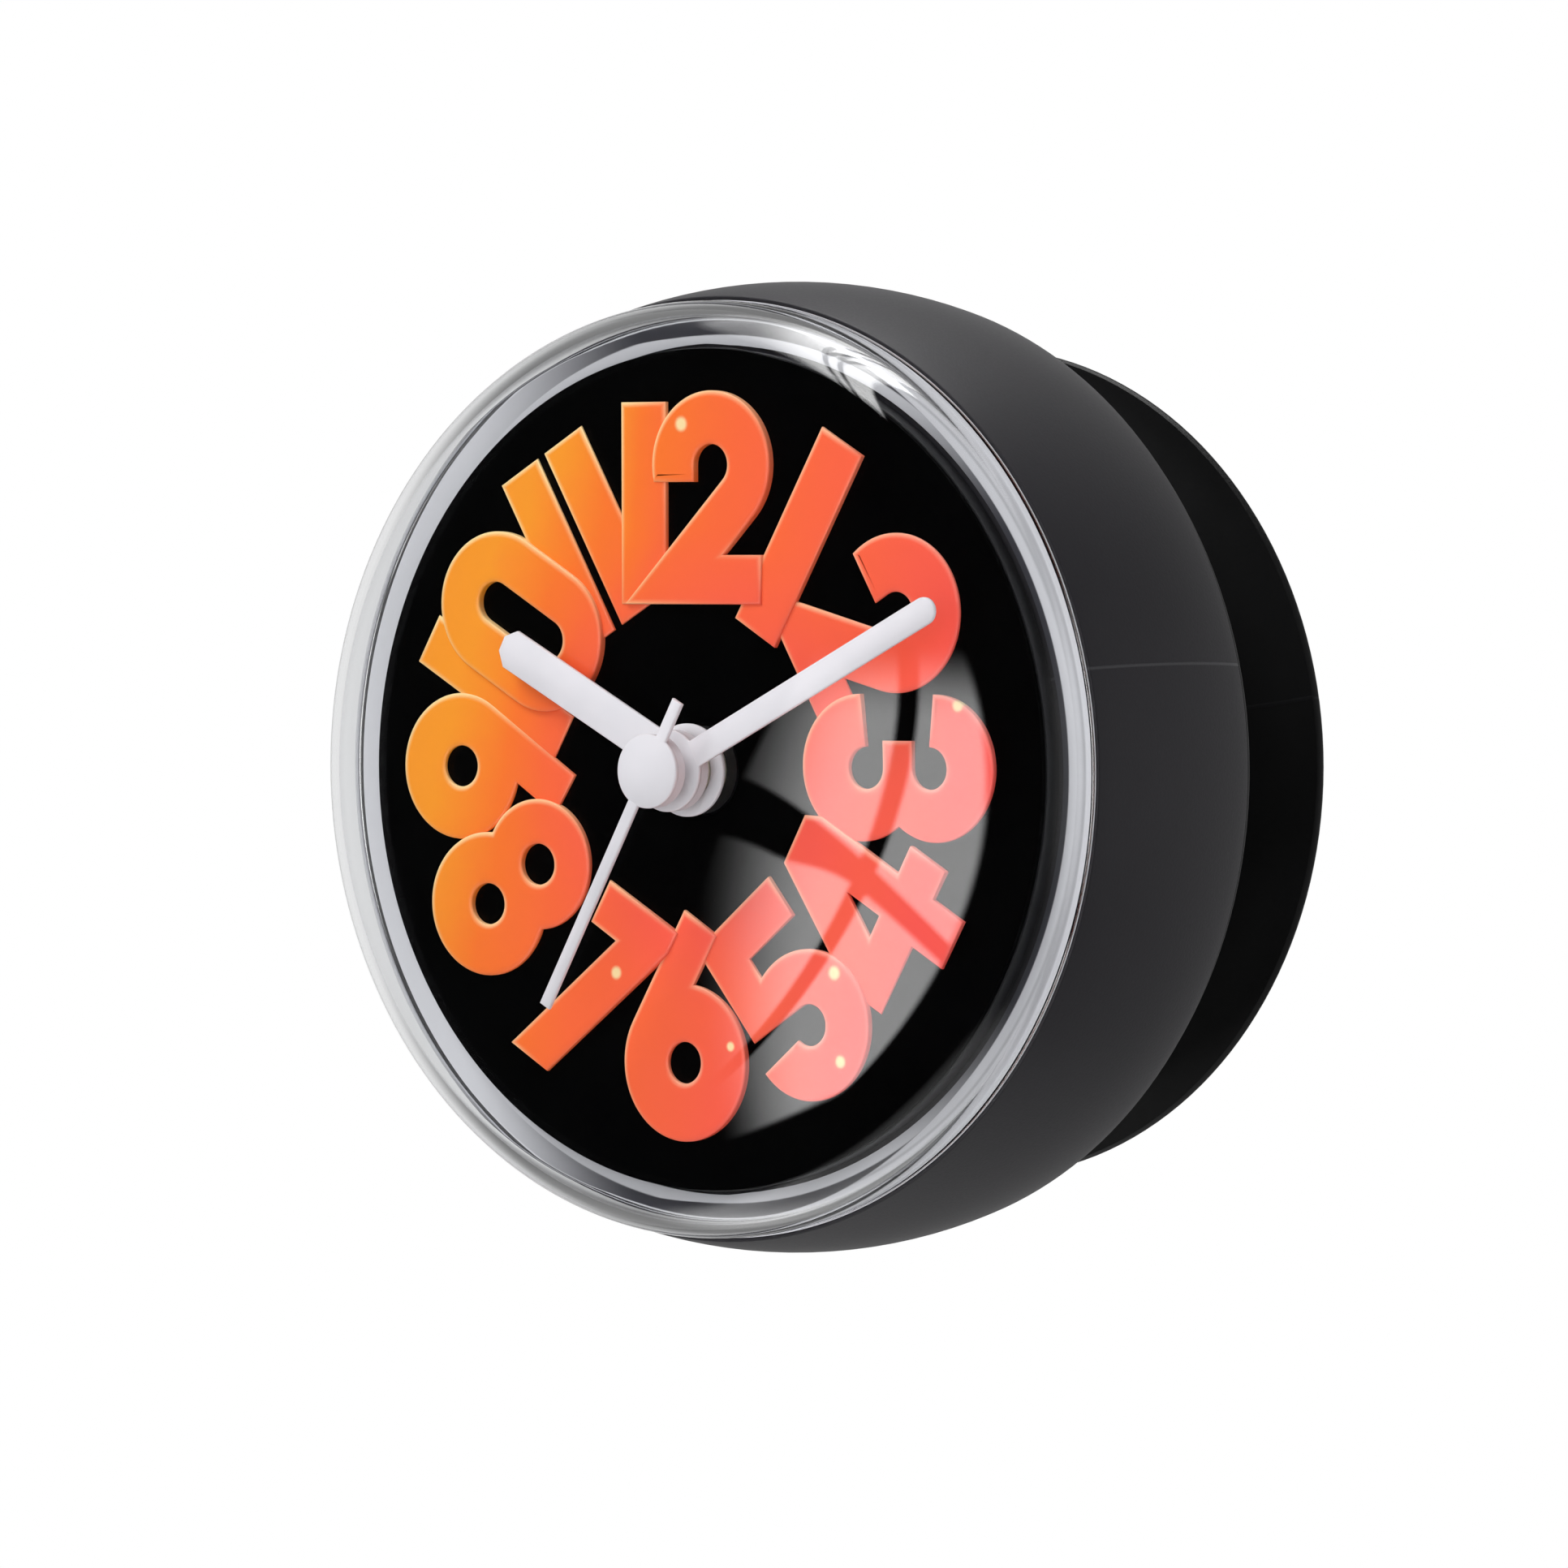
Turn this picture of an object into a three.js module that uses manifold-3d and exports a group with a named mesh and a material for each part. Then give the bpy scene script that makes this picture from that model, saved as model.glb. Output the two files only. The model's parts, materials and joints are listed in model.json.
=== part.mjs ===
// Bathroom clock held on a wall by a suction cup, in millimetres with +Z up.
// The clock axis is Y: the wall is the plane y = 0 and the dial faces -Y.
// A station is a distance in front of the wall, so a point at station s has y = -s.
// Angles on the dial run clockwise from twelve, as seen from the front.
import * as THREE from 'three';
import { mergeVertices } from 'three/addons/utils/BufferGeometryUtils.js';
import Module from 'manifold-3d';

const wasm = await Module();
wasm.setup();

// Mesh steps
const WELD_TOLERANCE = 1e-4;
const SIDES_SHELL = 48;
const SIDES_INNER = 36;
const SIDES_SMALL = 16;
const SIDES_TINY = 10;
const HOLE_STEPS = 5;
const ARC_STEPS = 4;
const BOWL_STEPS = 10;
const BARREL_STEPS = 5;
const SEAL_STEPS = 6;
const JOIN_OVERLAP = 0.2;

// Clearances
const RUNNING_GAP = 0.12;
const PRESS_GAP = 0.05;
const SEAT_GAP = 0.2;

// Suction cup
const CUP_RADIUS = 31.5;
const CUP_HEIGHT = 11.4;
const CUP_LIP_WIDTH = 3;
const CUP_LIP_HEIGHT = 1.2;
const CUP_CAVITY_DEPTH = 4.5;
const CUP_SHOULDER_RADIUS = 8;
const CUP_NECK_RADIUS = 4.5;
const CUP_HEAD_RADIUS = 6.8;
const CUP_HEAD_LENGTH = 2.6;
const CUP_HEAD_TAPER = 1.8;
const CUP_FLARE = 1.15;

// Rear cover and its seal
const COVER_WALL = 1.8;
const COVER_RISE = 3.7;
const COVER_HUB_RADIUS = 12;
const COVER_EDGE_STEP = 0.6;
const COVER_FLANGE = 1;
const COVER_SPIGOT_LENGTH = 5;
const COVER_SPIGOT_WALL = 2;
const COVER_GROOVE_OFFSET = 1.2;
const SEAL_RADIUS = 0.6;

// Case shell
const CASE_RADIUS = 36;
const CASE_DEPTH = 17.8;
const CASE_WIDEST = 7.8;
const CASE_BARREL_RADIUS = 40;
const CASE_WALL = 3.4;
const CASE_EDGE_ROUND = 0.2;
const LEDGE_DEPTH = 0.85;
const LEDGE_THICKNESS = 1.8;
const LEDGE_WIDTH = 4.6;

// Lens and gasket
const LENS_SETBACK = 0.35;
const LENS_WALL = 1;
const LENS_CORNER_RADIUS = 5;
const LENS_CORNER_STATION = 1.35;
const LENS_CROWN_ANGLE = 25;
const GASKET_THICKNESS = 0.6;
const GASKET_EDGE = 0.1;
const GASKET_CLEARANCE = 0.35;

// Dial and carrier
const DIAL_RISE = 1.3;
const DIAL_THICKNESS = 0.4;
const CARRIER_CLEARANCE = 2.6;
const CARRIER_RIM = 0.1;
const CARRIER_THICKNESS = 1.2;
const CARRIER_SKIRT = 1.8;

// Raised numerals: their figures are drawn in units of a share of the dial's radius
const NUMERAL_THICKNESS = 0.6;
const FIGURE_UNIT_SHARE = 0.0321;
const FIGURE = {
  circle: 20,
  gap: 0.3,
  foot: 3.65,
  slant: 3.6,
  eye: 1.55,
  twoTerminal: 0.8,
  threePitch: 6.65,
  threeArmHalf: 1.35,
  fourDiagonal: 4.3,
  fourLean: 0.8,
  fiveStemReach: 5,
  fiveSlotAbove: 2.1,
  fiveSlotBelow: 0.25,
  sevenStem: 4.1,
};

// Hands: plane heights are over the dial face
const HAND_THICKNESS = 0.4;
const HAND_SKIN = 0.3;
const HOUR_HEIGHT = 1.5;
const HOUR_LENGTH = 19.6;
const HOUR_WIDTH = 3;
const HOUR_CORNER_CUT = 0.9;
const HOUR_HUB_RADIUS = 3.4;
const HOUR_ANGLE = 297.8;
const MINUTE_HEIGHT = 3.8;
const MINUTE_LENGTH = 27;
const MINUTE_WIDTH = 2;
const MINUTE_HUB_RADIUS = 3;
const MINUTE_HUB_DEPTH = 1.2;
const MINUTE_ANGLE = 63.4;
const SECOND_HEIGHT = 6.1;
const SECOND_LENGTH = 19.7;
const SECOND_TAIL = 5.8;
const SECOND_WIDTH = 0.95;
const SECOND_HUB_RADIUS = 2.7;
const SECOND_HUB_DEPTH = 1.2;
const SECOND_ANGLE = 208.8;

// Movement housing
const MOVEMENT_CLEARANCE = 1.4;
const MOVEMENT_DEPTH = 13;
const MOVEMENT_WALL = 1.3;
const MOVEMENT_FLANGE = 3.6;
const BUSH_WALL = 0.9;
const BACK_PLATE_THICKNESS = 1.2;
const SCREW_COUNT = 3;
const SCREW_RADIUS = 0.7;
const SCREW_HEAD_RADIUS = 1.3;
const SCREW_HEAD_HEIGHT = 0.9;
const SCREW_ANGLE = 15;

// Arbors and wheels
const WHEEL_THICKNESS = 0.6;
const PINION_LENGTH = 2;
const TOOTH_TIP = 0.45;
const TOOTH_ROOT = 0.85;
const PIVOT_RADIUS = 0.35;
const PIVOT_DEPTH = 0.6;
const SECOND_ARBOR_RADIUS = 0.45;
const MINUTE_TUBE_WALL = 0.6;
const HOUR_TUBE_WALL = 0.9;
const LAYER_PITCH = 1.8;

// Gear train: tooth counts, directions of the axes, and centre distances as shares of the movement's bore
const ROTOR_PINION_TEETH = 6;
const STEP_WHEEL_TEETH = 36;
const STEP_PINION_TEETH = 10;
const SECOND_WHEEL_TEETH = 50;
const SECOND_PINION_TEETH = 6;
const THIRD_WHEEL_TEETH = 45;
const THIRD_PINION_TEETH = 6;
const CENTRE_WHEEL_TEETH = 48;
const CANNON_TEETH = 8;
const MINUTE_WHEEL_TEETH = 24;
const MINUTE_PINION_TEETH = 8;
const HOUR_WHEEL_TEETH = 32;
const SETTING_TEETH = 8;
const STEP_SHARE = 0.3;
const STEP_DIRECTION = 270;
const ROTOR_SHARE = 0.258;
const ROTOR_DIRECTION = 225;
const THIRD_SHARE = 0.281;
const THIRD_DIRECTION = 0;
const MOTION_SHARE = 0.2765;
const MOTION_DIRECTION = 130;
const MOTION_STUD_RADIUS = 0.5;
const SETTING_SHAFT_RADIUS = 0.8;
const KNOB_RADIUS = 4;
const KNOB_HEIGHT = 2.6;
const KNOB_RIDGES = 18;
const KNOB_RIDGE_DEPTH = 0.35;
const KNOB_FACE = 0.8;

// Motor: the magnet and the stator's web are shares of the rotor's distance
const MAGNET_SHARE = 0.393;
const MAGNET_LENGTH = 2.2;
const STATOR_THICKNESS = 1;
const STATOR_AIR_GAP = 0.4;
const STATOR_WEB_SHARE = 0.214;
const COIL_OVERHANG = 2.5;
const COIL_REACH_SHARE = 0.295;
const COIL_MARGIN = 8.1;
const CORE_HEIGHT = 2.4;
const CORE_THICKNESS = 1.2;
const CORE_FOOT = 3;
const BOBBIN_WALL = 0.5;
const BOBBIN_FLANGE_RADIUS = 3.2;
const BOBBIN_FLANGE_WIDTH = 0.7;
const WINDING_RADIUS = 2.8;
const MAGNET_LIFT = 0.8;

// Electronics
const CELL_RADIUS = 5.8;
const CELL_HEIGHT = 5.4;
const CELL_STEP = 0.8;
const CELL_DIRECTION = 57;
const CELL_CLEARANCE = 0.4;
const CONTACT_THICKNESS = 0.3;
const CONTACT_WIDTH = 3;
const CONTACT_LAP = 1.5;
const BOARD_WIDTH = 8;
const BOARD_HEIGHT = 8;
const BOARD_THICKNESS = 0.8;
const BOARD_DIRECTION = 311.6;
const BOARD_CLEARANCE = 0.7;
const CRYSTAL_RADIUS = 1;
const CRYSTAL_LENGTH = 6;
const CHIP_RADIUS = 1.8;
const CHIP_DROP = 0.8;
const CHIP_HEIGHT = 0.9;
const POST_RADIUS = 0.9;

// Stations along the clock axis, worked out from the wall forwards
const coverBack = CUP_HEIGHT + SEAT_GAP;
const coverFace = coverBack + COVER_WALL;
const caseRear = coverBack + COVER_RISE + SEAT_GAP;
const caseFront = caseRear + CASE_DEPTH;
const ledgeFace = caseFront - LEDGE_DEPTH;
const dialFace = caseFront + DIAL_RISE;
const dialBack = dialFace - DIAL_THICKNESS;
const carrierFace = dialBack - PRESS_GAP;
const carrierBack = carrierFace - CARRIER_THICKNESS;
const plateFront = carrierBack - SEAT_GAP;
const plateBack = plateFront - MOVEMENT_WALL;
const backPlateFront = plateFront - MOVEMENT_DEPTH;
const backPlateBack = backPlateFront - BACK_PLATE_THICKNESS;
const hourLayer = plateBack - SEAT_GAP - WHEEL_THICKNESS;
const motionLayer = hourLayer - LAYER_PITCH;
const centreLayer = motionLayer - LAYER_PITCH;
const thirdLayer = centreLayer - LAYER_PITCH;
const secondLayer = thirdLayer - LAYER_PITCH;
const stepLayer = secondLayer - LAYER_PITCH;
const knobBack = backPlateBack - SEAT_GAP - KNOB_HEIGHT;
const magnetBack = stepLayer + WHEEL_THICKNESS + MAGNET_LIFT;
const statorBack = magnetBack + (MAGNET_LENGTH - STATOR_THICKNESS) / 2;
const statorFront = statorBack + STATOR_THICKNESS;
const coreBack = statorFront + PRESS_GAP;
const coreFront = coreBack + CORE_THICKNESS;
const coilStation = (coreBack + coreFront) / 2;
const cellBack = backPlateBack + SEAT_GAP;
const contactBack = cellBack + CELL_HEIGHT + SEAT_GAP;
const boardBack = contactBack + CONTACT_THICKNESS + SEAT_GAP;
const boardFront = boardBack + BOARD_THICKNESS;
const gasketBack = ledgeFace + PRESS_GAP;
const gasketFace = gasketBack + GASKET_THICKNESS;
const lensBase = gasketFace + PRESS_GAP;

// Radii that fit inside one another at the centre
const minuteBore = SECOND_ARBOR_RADIUS + RUNNING_GAP;
const minuteTube = minuteBore + MINUTE_TUBE_WALL;
const hourBore = minuteTube + RUNNING_GAP;
const hourTube = hourBore + HOUR_TUBE_WALL;
const bushBore = hourTube + RUNNING_GAP;
const bushRadius = bushBore + BUSH_WALL;
const dialHole = bushRadius + SEAT_GAP;

// Radii that follow from the case: its joints, the lens, the dial and the movement
const caseBore = CASE_RADIUS - CASE_WALL;
const ledgeBore = caseBore - LEDGE_WIDTH;
const lensRadius = barrelRadius(caseFront) - LENS_SETBACK;
const lensSeat = lensRadius + PRESS_GAP;
const carrierRadius = lensRadius - LENS_WALL - CARRIER_CLEARANCE;
const dialRadius = carrierRadius - CARRIER_RIM;
const figureUnit = FIGURE_UNIT_SHARE * dialRadius;
const flangeRadius = ledgeBore - MOVEMENT_CLEARANCE;
const movementRadius = flangeRadius - MOVEMENT_FLANGE;
const movementBore = movementRadius - MOVEMENT_WALL;
const spigotRadius = caseBore - SEAT_GAP;
const sealCircle = caseBore - PRESS_GAP - SEAL_RADIUS;
const grooveRadius = sealCircle - SEAL_RADIUS - PRESS_GAP;
const grooveBack = caseRear - SEAT_GAP + COVER_GROOVE_OFFSET;
const grooveFront = grooveBack + 2 * (SEAL_RADIUS + PRESS_GAP);

// Centre distances and axes of the wheels on the dial plane
const stepDistance = STEP_SHARE * movementBore;
const rotorDistance = ROTOR_SHARE * movementBore;
const thirdDistance = THIRD_SHARE * movementBore;
const motionDistance = MOTION_SHARE * movementBore;
const stepAxis = fromPoint([0, 0], STEP_DIRECTION, stepDistance);
const rotorAxis = fromPoint(stepAxis, ROTOR_DIRECTION, rotorDistance);
const thirdAxis = fromPoint([0, 0], THIRD_DIRECTION, thirdDistance);
const motionAxis = fromPoint([0, 0], MOTION_DIRECTION, motionDistance);
const settingAxis = fromPoint(motionAxis, MOTION_DIRECTION, motionDistance);
const minuteWheelPhase = meshPhase(0, CANNON_TEETH, MOTION_DIRECTION, MINUTE_WHEEL_TEETH);

// Motor, cell and board in the movement's bore
const magnetRadius = MAGNET_SHARE * rotorDistance;
const statorWeb = STATOR_WEB_SHARE * rotorDistance;
const coilLeft = rotorAxis[0] - COIL_OVERHANG;
const coilRight = COIL_REACH_SHARE * movementBore;
const coilDrop = movementBore - COIL_MARGIN;
const bobbinBarrel = Math.hypot(CORE_HEIGHT / 2 + SEAT_GAP, CORE_THICKNESS / 2 + SEAT_GAP) + BOBBIN_WALL;
const bobbinLeft = coilLeft + CORE_FOOT + SEAT_GAP;
const bobbinRight = coilRight - CORE_FOOT - SEAT_GAP;
const [cellX, cellZ] = fromPoint([0, 0], CELL_DIRECTION, movementBore - CELL_RADIUS - CELL_CLEARANCE);
const boardReach = movementBore - Math.hypot(BOARD_WIDTH, BOARD_HEIGHT) / 2 - BOARD_CLEARANCE;
const [boardX, boardZ] = fromPoint([0, 0], BOARD_DIRECTION, boardReach);

// Finishes as the photo shows them, one material for each piece
const rubber = { color: 0x121213, roughness: 0.6, metalness: 0 };
const softPlastic = { color: 0x35353a, roughness: 0.7, metalness: 0 };
const blackPlastic = { color: 0x161617, roughness: 0.5, metalness: 0 };
const clearPlastic = { color: 0xf4f6f8, roughness: 0.05, metalness: 0, transparent: true, opacity: 0.25 };
const palePlastic = { color: 0xd8d8dc, roughness: 0.45, metalness: 0 };
const dialBlack = { color: 0x050505, roughness: 0.5, metalness: 0 };
const handWhite = { color: 0xe8e4e8, roughness: 0.4, metalness: 0 };
const wheelPlastic = { color: 0xefe9d8, roughness: 0.5, metalness: 0 };
const steel = { color: 0xb8babd, roughness: 0.3, metalness: 1 };
const copper = { color: 0xb4693a, roughness: 0.4, metalness: 1 };
const brass = { color: 0xc8a552, roughness: 0.35, metalness: 1 };
const boardGreen = { color: 0x2c5a36, roughness: 0.5, metalness: 0 };

const clock = new THREE.Group();

// Turns a closed three.js geometry into a solid with its faces pointing out.
function solidFrom(geometry) {
  geometry.deleteAttribute('normal');
  geometry.deleteAttribute('uv');
  const merged = mergeVertices(geometry, WELD_TOLERANCE);
  const corners = new Float32Array(merged.getAttribute('position').array);
  const index = merged.index.array;
  const triangles = [];
  let volume = 0;
  const [a, b, c] = [new THREE.Vector3(), new THREE.Vector3(), new THREE.Vector3()];
  for (let i = 0; i < index.length; i += 3) {
    const [p, q, r] = [index[i], index[i + 1], index[i + 2]];
    if (p === q || q === r || r === p) continue;
    triangles.push([p, q, r]);
    a.fromArray(corners, 3 * p);
    b.fromArray(corners, 3 * q);
    c.fromArray(corners, 3 * r);
    volume += a.dot(b.cross(c));
  }
  const facingOut = triangles.flatMap(([p, q, r]) => (volume > 0 ? [p, q, r] : [p, r, q]));
  const triVerts = new Uint32Array(facingOut);
  return new wasm.Manifold(new wasm.Mesh({ numProp: 3, vertProperties: corners, triVerts }));
}

// Joins several solids into one.
function join(...solids) {
  return solids.reduce((whole, solid) => whole.add(solid));
}

// Cuts several solids out of one.
function cut(solid, ...tools) {
  return tools.reduce((rest, tool) => rest.subtract(tool), solid);
}

// Adds a named piece to the clock, placed at (x, z) and turned clockwise about its own axis.
function addPiece(name, solid, finish, { x = 0, z = 0, turn = 0 } = {}) {
  const mesh = solid.getMesh();
  const geometry = new THREE.BufferGeometry();
  geometry.setAttribute('position', new THREE.BufferAttribute(mesh.vertProperties, 3));
  geometry.setIndex(new THREE.BufferAttribute(mesh.triVerts, 1));
  geometry.computeVertexNormals();
  const piece = new THREE.Mesh(geometry, new THREE.MeshStandardMaterial(finish));
  piece.name = name;
  piece.position.set(x, 0, z);
  piece.rotation.y = THREE.MathUtils.degToRad(turn);
  clock.add(piece);
}

// Revolves a closed outline of [radius, station] points about the clock axis.
function revolve(outline, sides = SIDES_INNER) {
  const points = outline.map(([radius, station]) => (
    new THREE.Vector2(radius < WELD_TOLERANCE ? 0 : radius, -station)
  ));
  if (points[0].x > 0 || points.at(-1).x > 0) points.push(points[0].clone());
  return solidFrom(new THREE.LatheGeometry(points, sides));
}

// Points of an arc in an outline, from one angle to another, counted from the radius to the front.
function arc(radius, station, size, from, to, steps = ARC_STEPS) {
  return Array.from({ length: steps + 1 }, (_, i) => {
    const angle = THREE.MathUtils.degToRad(from + ((to - from) * i) / steps);
    return [radius + size * Math.cos(angle), station + size * Math.sin(angle)];
  });
}

// A round bar or tube along the clock axis.
function rod(radius, from, to, sides = SIDES_SMALL) {
  return revolve([[0, from], [radius, from], [radius, to], [0, to]], sides);
}

function tube(radius, bore, from, to, sides = SIDES_SMALL) {
  return revolve([[bore, from], [radius, from], [radius, to], [bore, to]], sides);
}

// Extrudes a flat shape, drawn as seen from the front, from one station to another.
function slab(shape, from, to, steps = BOWL_STEPS) {
  const depth = to - from;
  const geometry = new THREE.ExtrudeGeometry(shape, { depth, bevelEnabled: false, curveSegments: steps });
  geometry.rotateX(Math.PI / 2);
  geometry.translate(0, -from, 0);
  return geometry;
}

// Moves a geometry sideways on the dial.
function shifted(geometry, x, z) {
  return geometry.translate(x, 0, z);
}

// Unit vector of a direction on the dial, counted clockwise from twelve.
function direction(degrees) {
  const angle = THREE.MathUtils.degToRad(degrees);
  return [Math.sin(angle), Math.cos(angle)];
}

// The point a distance away from another in a direction on the dial.
function fromPoint([x, z], degrees, distance) {
  const [dx, dz] = direction(degrees);
  return [x + distance * dx, z + distance * dz];
}

// Flat shapes
function polygon(points) {
  return new THREE.Shape(points.map(([x, y]) => new THREE.Vector2(x, y)));
}

function box(left, bottom, right, top) {
  return polygon([[left, bottom], [right, bottom], [right, top], [left, top]]);
}

function disc(x, y, radius) {
  const shape = new THREE.Shape();
  shape.absarc(x, y, radius, 0, 2 * Math.PI, false);
  return shape;
}

// A straight stroke between two points, with square ends.
function stroke([x0, y0], [x1, y1], width) {
  const length = Math.hypot(x1 - x0, y1 - y0);
  const [sideX, sideY] = [(-(y1 - y0) / length) * (width / 2), ((x1 - x0) / length) * (width / 2)];
  return polygon([
    [x0 + sideX, y0 + sideY],
    [x0 - sideX, y0 - sideY],
    [x1 - sideX, y1 - sideY],
    [x1 + sideX, y1 + sideY],
  ]);
}

// Suction cup: lip on the wall, hollow behind, flared skirt, neck and head moulded on.
function suctionCup() {
  const lipInner = CUP_RADIUS - CUP_LIP_WIDTH;
  const lipRound = CUP_LIP_HEIGHT / 2;
  const headBack = coverFace + SEAT_GAP;
  const headFront = headBack + CUP_HEAD_LENGTH;
  const share = Array.from({ length: ARC_STEPS + 1 }, (_, i) => i / ARC_STEPS);
  const hollow = share.map((t) => [lipInner * t, CUP_CAVITY_DEPTH * (1 - t * t)]);
  const lip = arc(CUP_RADIUS - lipRound, lipRound, lipRound, -90, 45);
  const skirtRun = CUP_RADIUS - CUP_LIP_HEIGHT - CUP_SHOULDER_RADIUS;
  const skirtRise = CUP_HEIGHT - CUP_LIP_HEIGHT;
  const skirt = share.map((t) => [
    CUP_SHOULDER_RADIUS + skirtRun * (1 - t),
    CUP_LIP_HEIGHT + skirtRise * t ** CUP_FLARE,
  ]);
  const stud = [
    [CUP_NECK_RADIUS, CUP_HEIGHT],
    [CUP_NECK_RADIUS, headBack],
    [CUP_HEAD_RADIUS, headBack],
    [CUP_HEAD_RADIUS, headFront - CUP_HEAD_TAPER],
    [CUP_HEAD_RADIUS - CUP_HEAD_TAPER, headFront],
    [0, headFront],
  ];
  return revolve([...hollow, ...lip, ...skirt, ...stud], SIDES_SHELL);
}

// Radius of the barrel-shaped case at a station.
function barrelRadius(station) {
  const away = station - (caseRear + CASE_WIDEST);
  return CASE_RADIUS - CASE_BARREL_RADIUS + Math.sqrt(CASE_BARREL_RADIUS ** 2 - away ** 2);
}

// Rear cover: shallow cone with a hole for the cup's neck and a spigot that plugs the case.
function rearCover() {
  const neckHole = CUP_NECK_RADIUS + SEAT_GAP;
  const edge = barrelRadius(caseRear) - COVER_EDGE_STEP;
  const flangeFront = caseRear - SEAT_GAP;
  const flangeBack = flangeFront - COVER_FLANGE;
  const spigotBore = spigotRadius - COVER_SPIGOT_WALL;
  const spigotFront = flangeFront + COVER_SPIGOT_LENGTH;
  const slope = (flangeBack - coverBack) / (edge - COVER_HUB_RADIUS);
  const faceAtBore = coverFace + slope * (spigotBore - COVER_HUB_RADIUS);
  return revolve([
    [neckHole, coverBack],
    [COVER_HUB_RADIUS, coverBack],
    [edge, flangeBack],
    [edge, flangeFront],
    [spigotRadius, flangeFront],
    [spigotRadius, grooveBack],
    [grooveRadius, grooveBack],
    [grooveRadius, grooveFront],
    [spigotRadius, grooveFront],
    [spigotRadius, spigotFront],
    [spigotBore, spigotFront],
    [spigotBore, faceAtBore],
    [COVER_HUB_RADIUS, coverFace],
    [neckHole, coverFace],
  ], SIDES_SHELL);
}

// O-ring in the cover's groove.
function coverSeal() {
  const middle = (grooveBack + grooveFront) / 2;
  const ring = arc(sealCircle, middle, SEAL_RADIUS, 0, 360, SEAL_STEPS).slice(0, SEAL_STEPS);
  return revolve(ring, SIDES_SHELL);
}

// Case shell: barrel outside, plain bore inside, with the ledge that carries dial and lens.
function caseShell() {
  const ledgeBack = ledgeFace - LEDGE_THICKNESS;
  const from = caseRear + CASE_EDGE_ROUND;
  const to = caseFront - CASE_EDGE_ROUND;
  const barrel = Array.from({ length: BARREL_STEPS + 1 }, (_, i) => {
    const station = from + ((to - from) * i) / BARREL_STEPS;
    return [barrelRadius(station), station];
  });
  return revolve([
    [caseBore, caseRear],
    [barrelRadius(caseRear) - CASE_EDGE_ROUND, caseRear],
    ...barrel,
    [barrelRadius(caseFront) - CASE_EDGE_ROUND, caseFront],
    [lensSeat, caseFront],
    [lensSeat, ledgeFace],
    [ledgeBore, ledgeFace],
    [ledgeBore, ledgeBack],
    [caseBore, ledgeBack],
  ], SIDES_SHELL);
}

// Lens: even shell with a crown, a rounded corner and a straight wall that stands in the case's front.
function lens() {
  const corner = [lensRadius - LENS_CORNER_RADIUS, caseFront + LENS_CORNER_STATION];
  const tilt = THREE.MathUtils.degToRad(LENS_CROWN_ANGLE);
  const crownRadius = corner[0] / Math.sin(tilt) + LENS_CORNER_RADIUS;
  const crownStation = corner[1] - corner[0] / Math.tan(tilt);
  const turn = 90 - LENS_CROWN_ANGLE;
  return revolve([
    ...arc(0, crownStation, crownRadius, 90, turn),
    ...arc(...corner, LENS_CORNER_RADIUS, turn, 0).slice(1),
    [lensRadius, lensBase],
    [lensRadius - LENS_WALL, lensBase],
    ...arc(...corner, LENS_CORNER_RADIUS - LENS_WALL, 0, turn),
    ...arc(0, crownStation, crownRadius - LENS_WALL, turn, 90).slice(1),
  ], SIDES_SHELL);
}

// Pale gasket on the ledge: flat under the lens wall, and falling from there to a thin inner edge.
function lensGasket() {
  const bore = carrierRadius + GASKET_CLEARANCE;
  return revolve([
    [bore, gasketBack],
    [lensRadius, gasketBack],
    [lensRadius, gasketFace],
    [lensRadius - LENS_WALL, gasketFace],
    [bore, gasketBack + GASKET_EDGE],
  ], SIDES_SHELL);
}

// Dial carrier: plate under the dial with a skirt that stands on the ledge.
function dialCarrier() {
  const skirtBore = carrierRadius - CARRIER_SKIRT;
  const foot = ledgeFace + SEAT_GAP;
  const body = revolve([
    [dialHole, carrierBack],
    [skirtBore, carrierBack],
    [skirtBore, foot],
    [carrierRadius, foot],
    [carrierRadius, carrierFace],
    [dialHole, carrierFace],
  ]);
  return cut(body, ...screwPlaces().map(([x, z]) => holeAt(x, z, SCREW_RADIUS, plateFront, dialBack)));
}

// A round tool for a hole at (x, z), clear of what goes through it by the seat gap on every side.
function holeAt(x, z, radius, from, to, steps = HOLE_STEPS) {
  const corner = (radius + SEAT_GAP) / Math.cos(Math.PI / (2 * steps));
  return solidFrom(shifted(slab(disc(0, 0, corner), from, to, steps), x, z));
}

// Places of the movement screws on the flange.
function screwPlaces() {
  const circle = movementRadius + MOVEMENT_FLANGE / 2;
  return Array.from({ length: SCREW_COUNT }, (_, i) => {
    const [x, z] = direction(SCREW_ANGLE + (i * 360) / SCREW_COUNT);
    return [circle * x, circle * z];
  });
}

function movementScrew() {
  return join(
    rod(SCREW_HEAD_RADIUS, plateBack - SEAT_GAP - SCREW_HEAD_HEIGHT, plateBack - SEAT_GAP, SIDES_TINY),
    rod(SCREW_RADIUS, plateBack - SEAT_GAP - JOIN_OVERLAP, carrierFace - SEAT_GAP, SIDES_TINY),
  );
}

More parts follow.
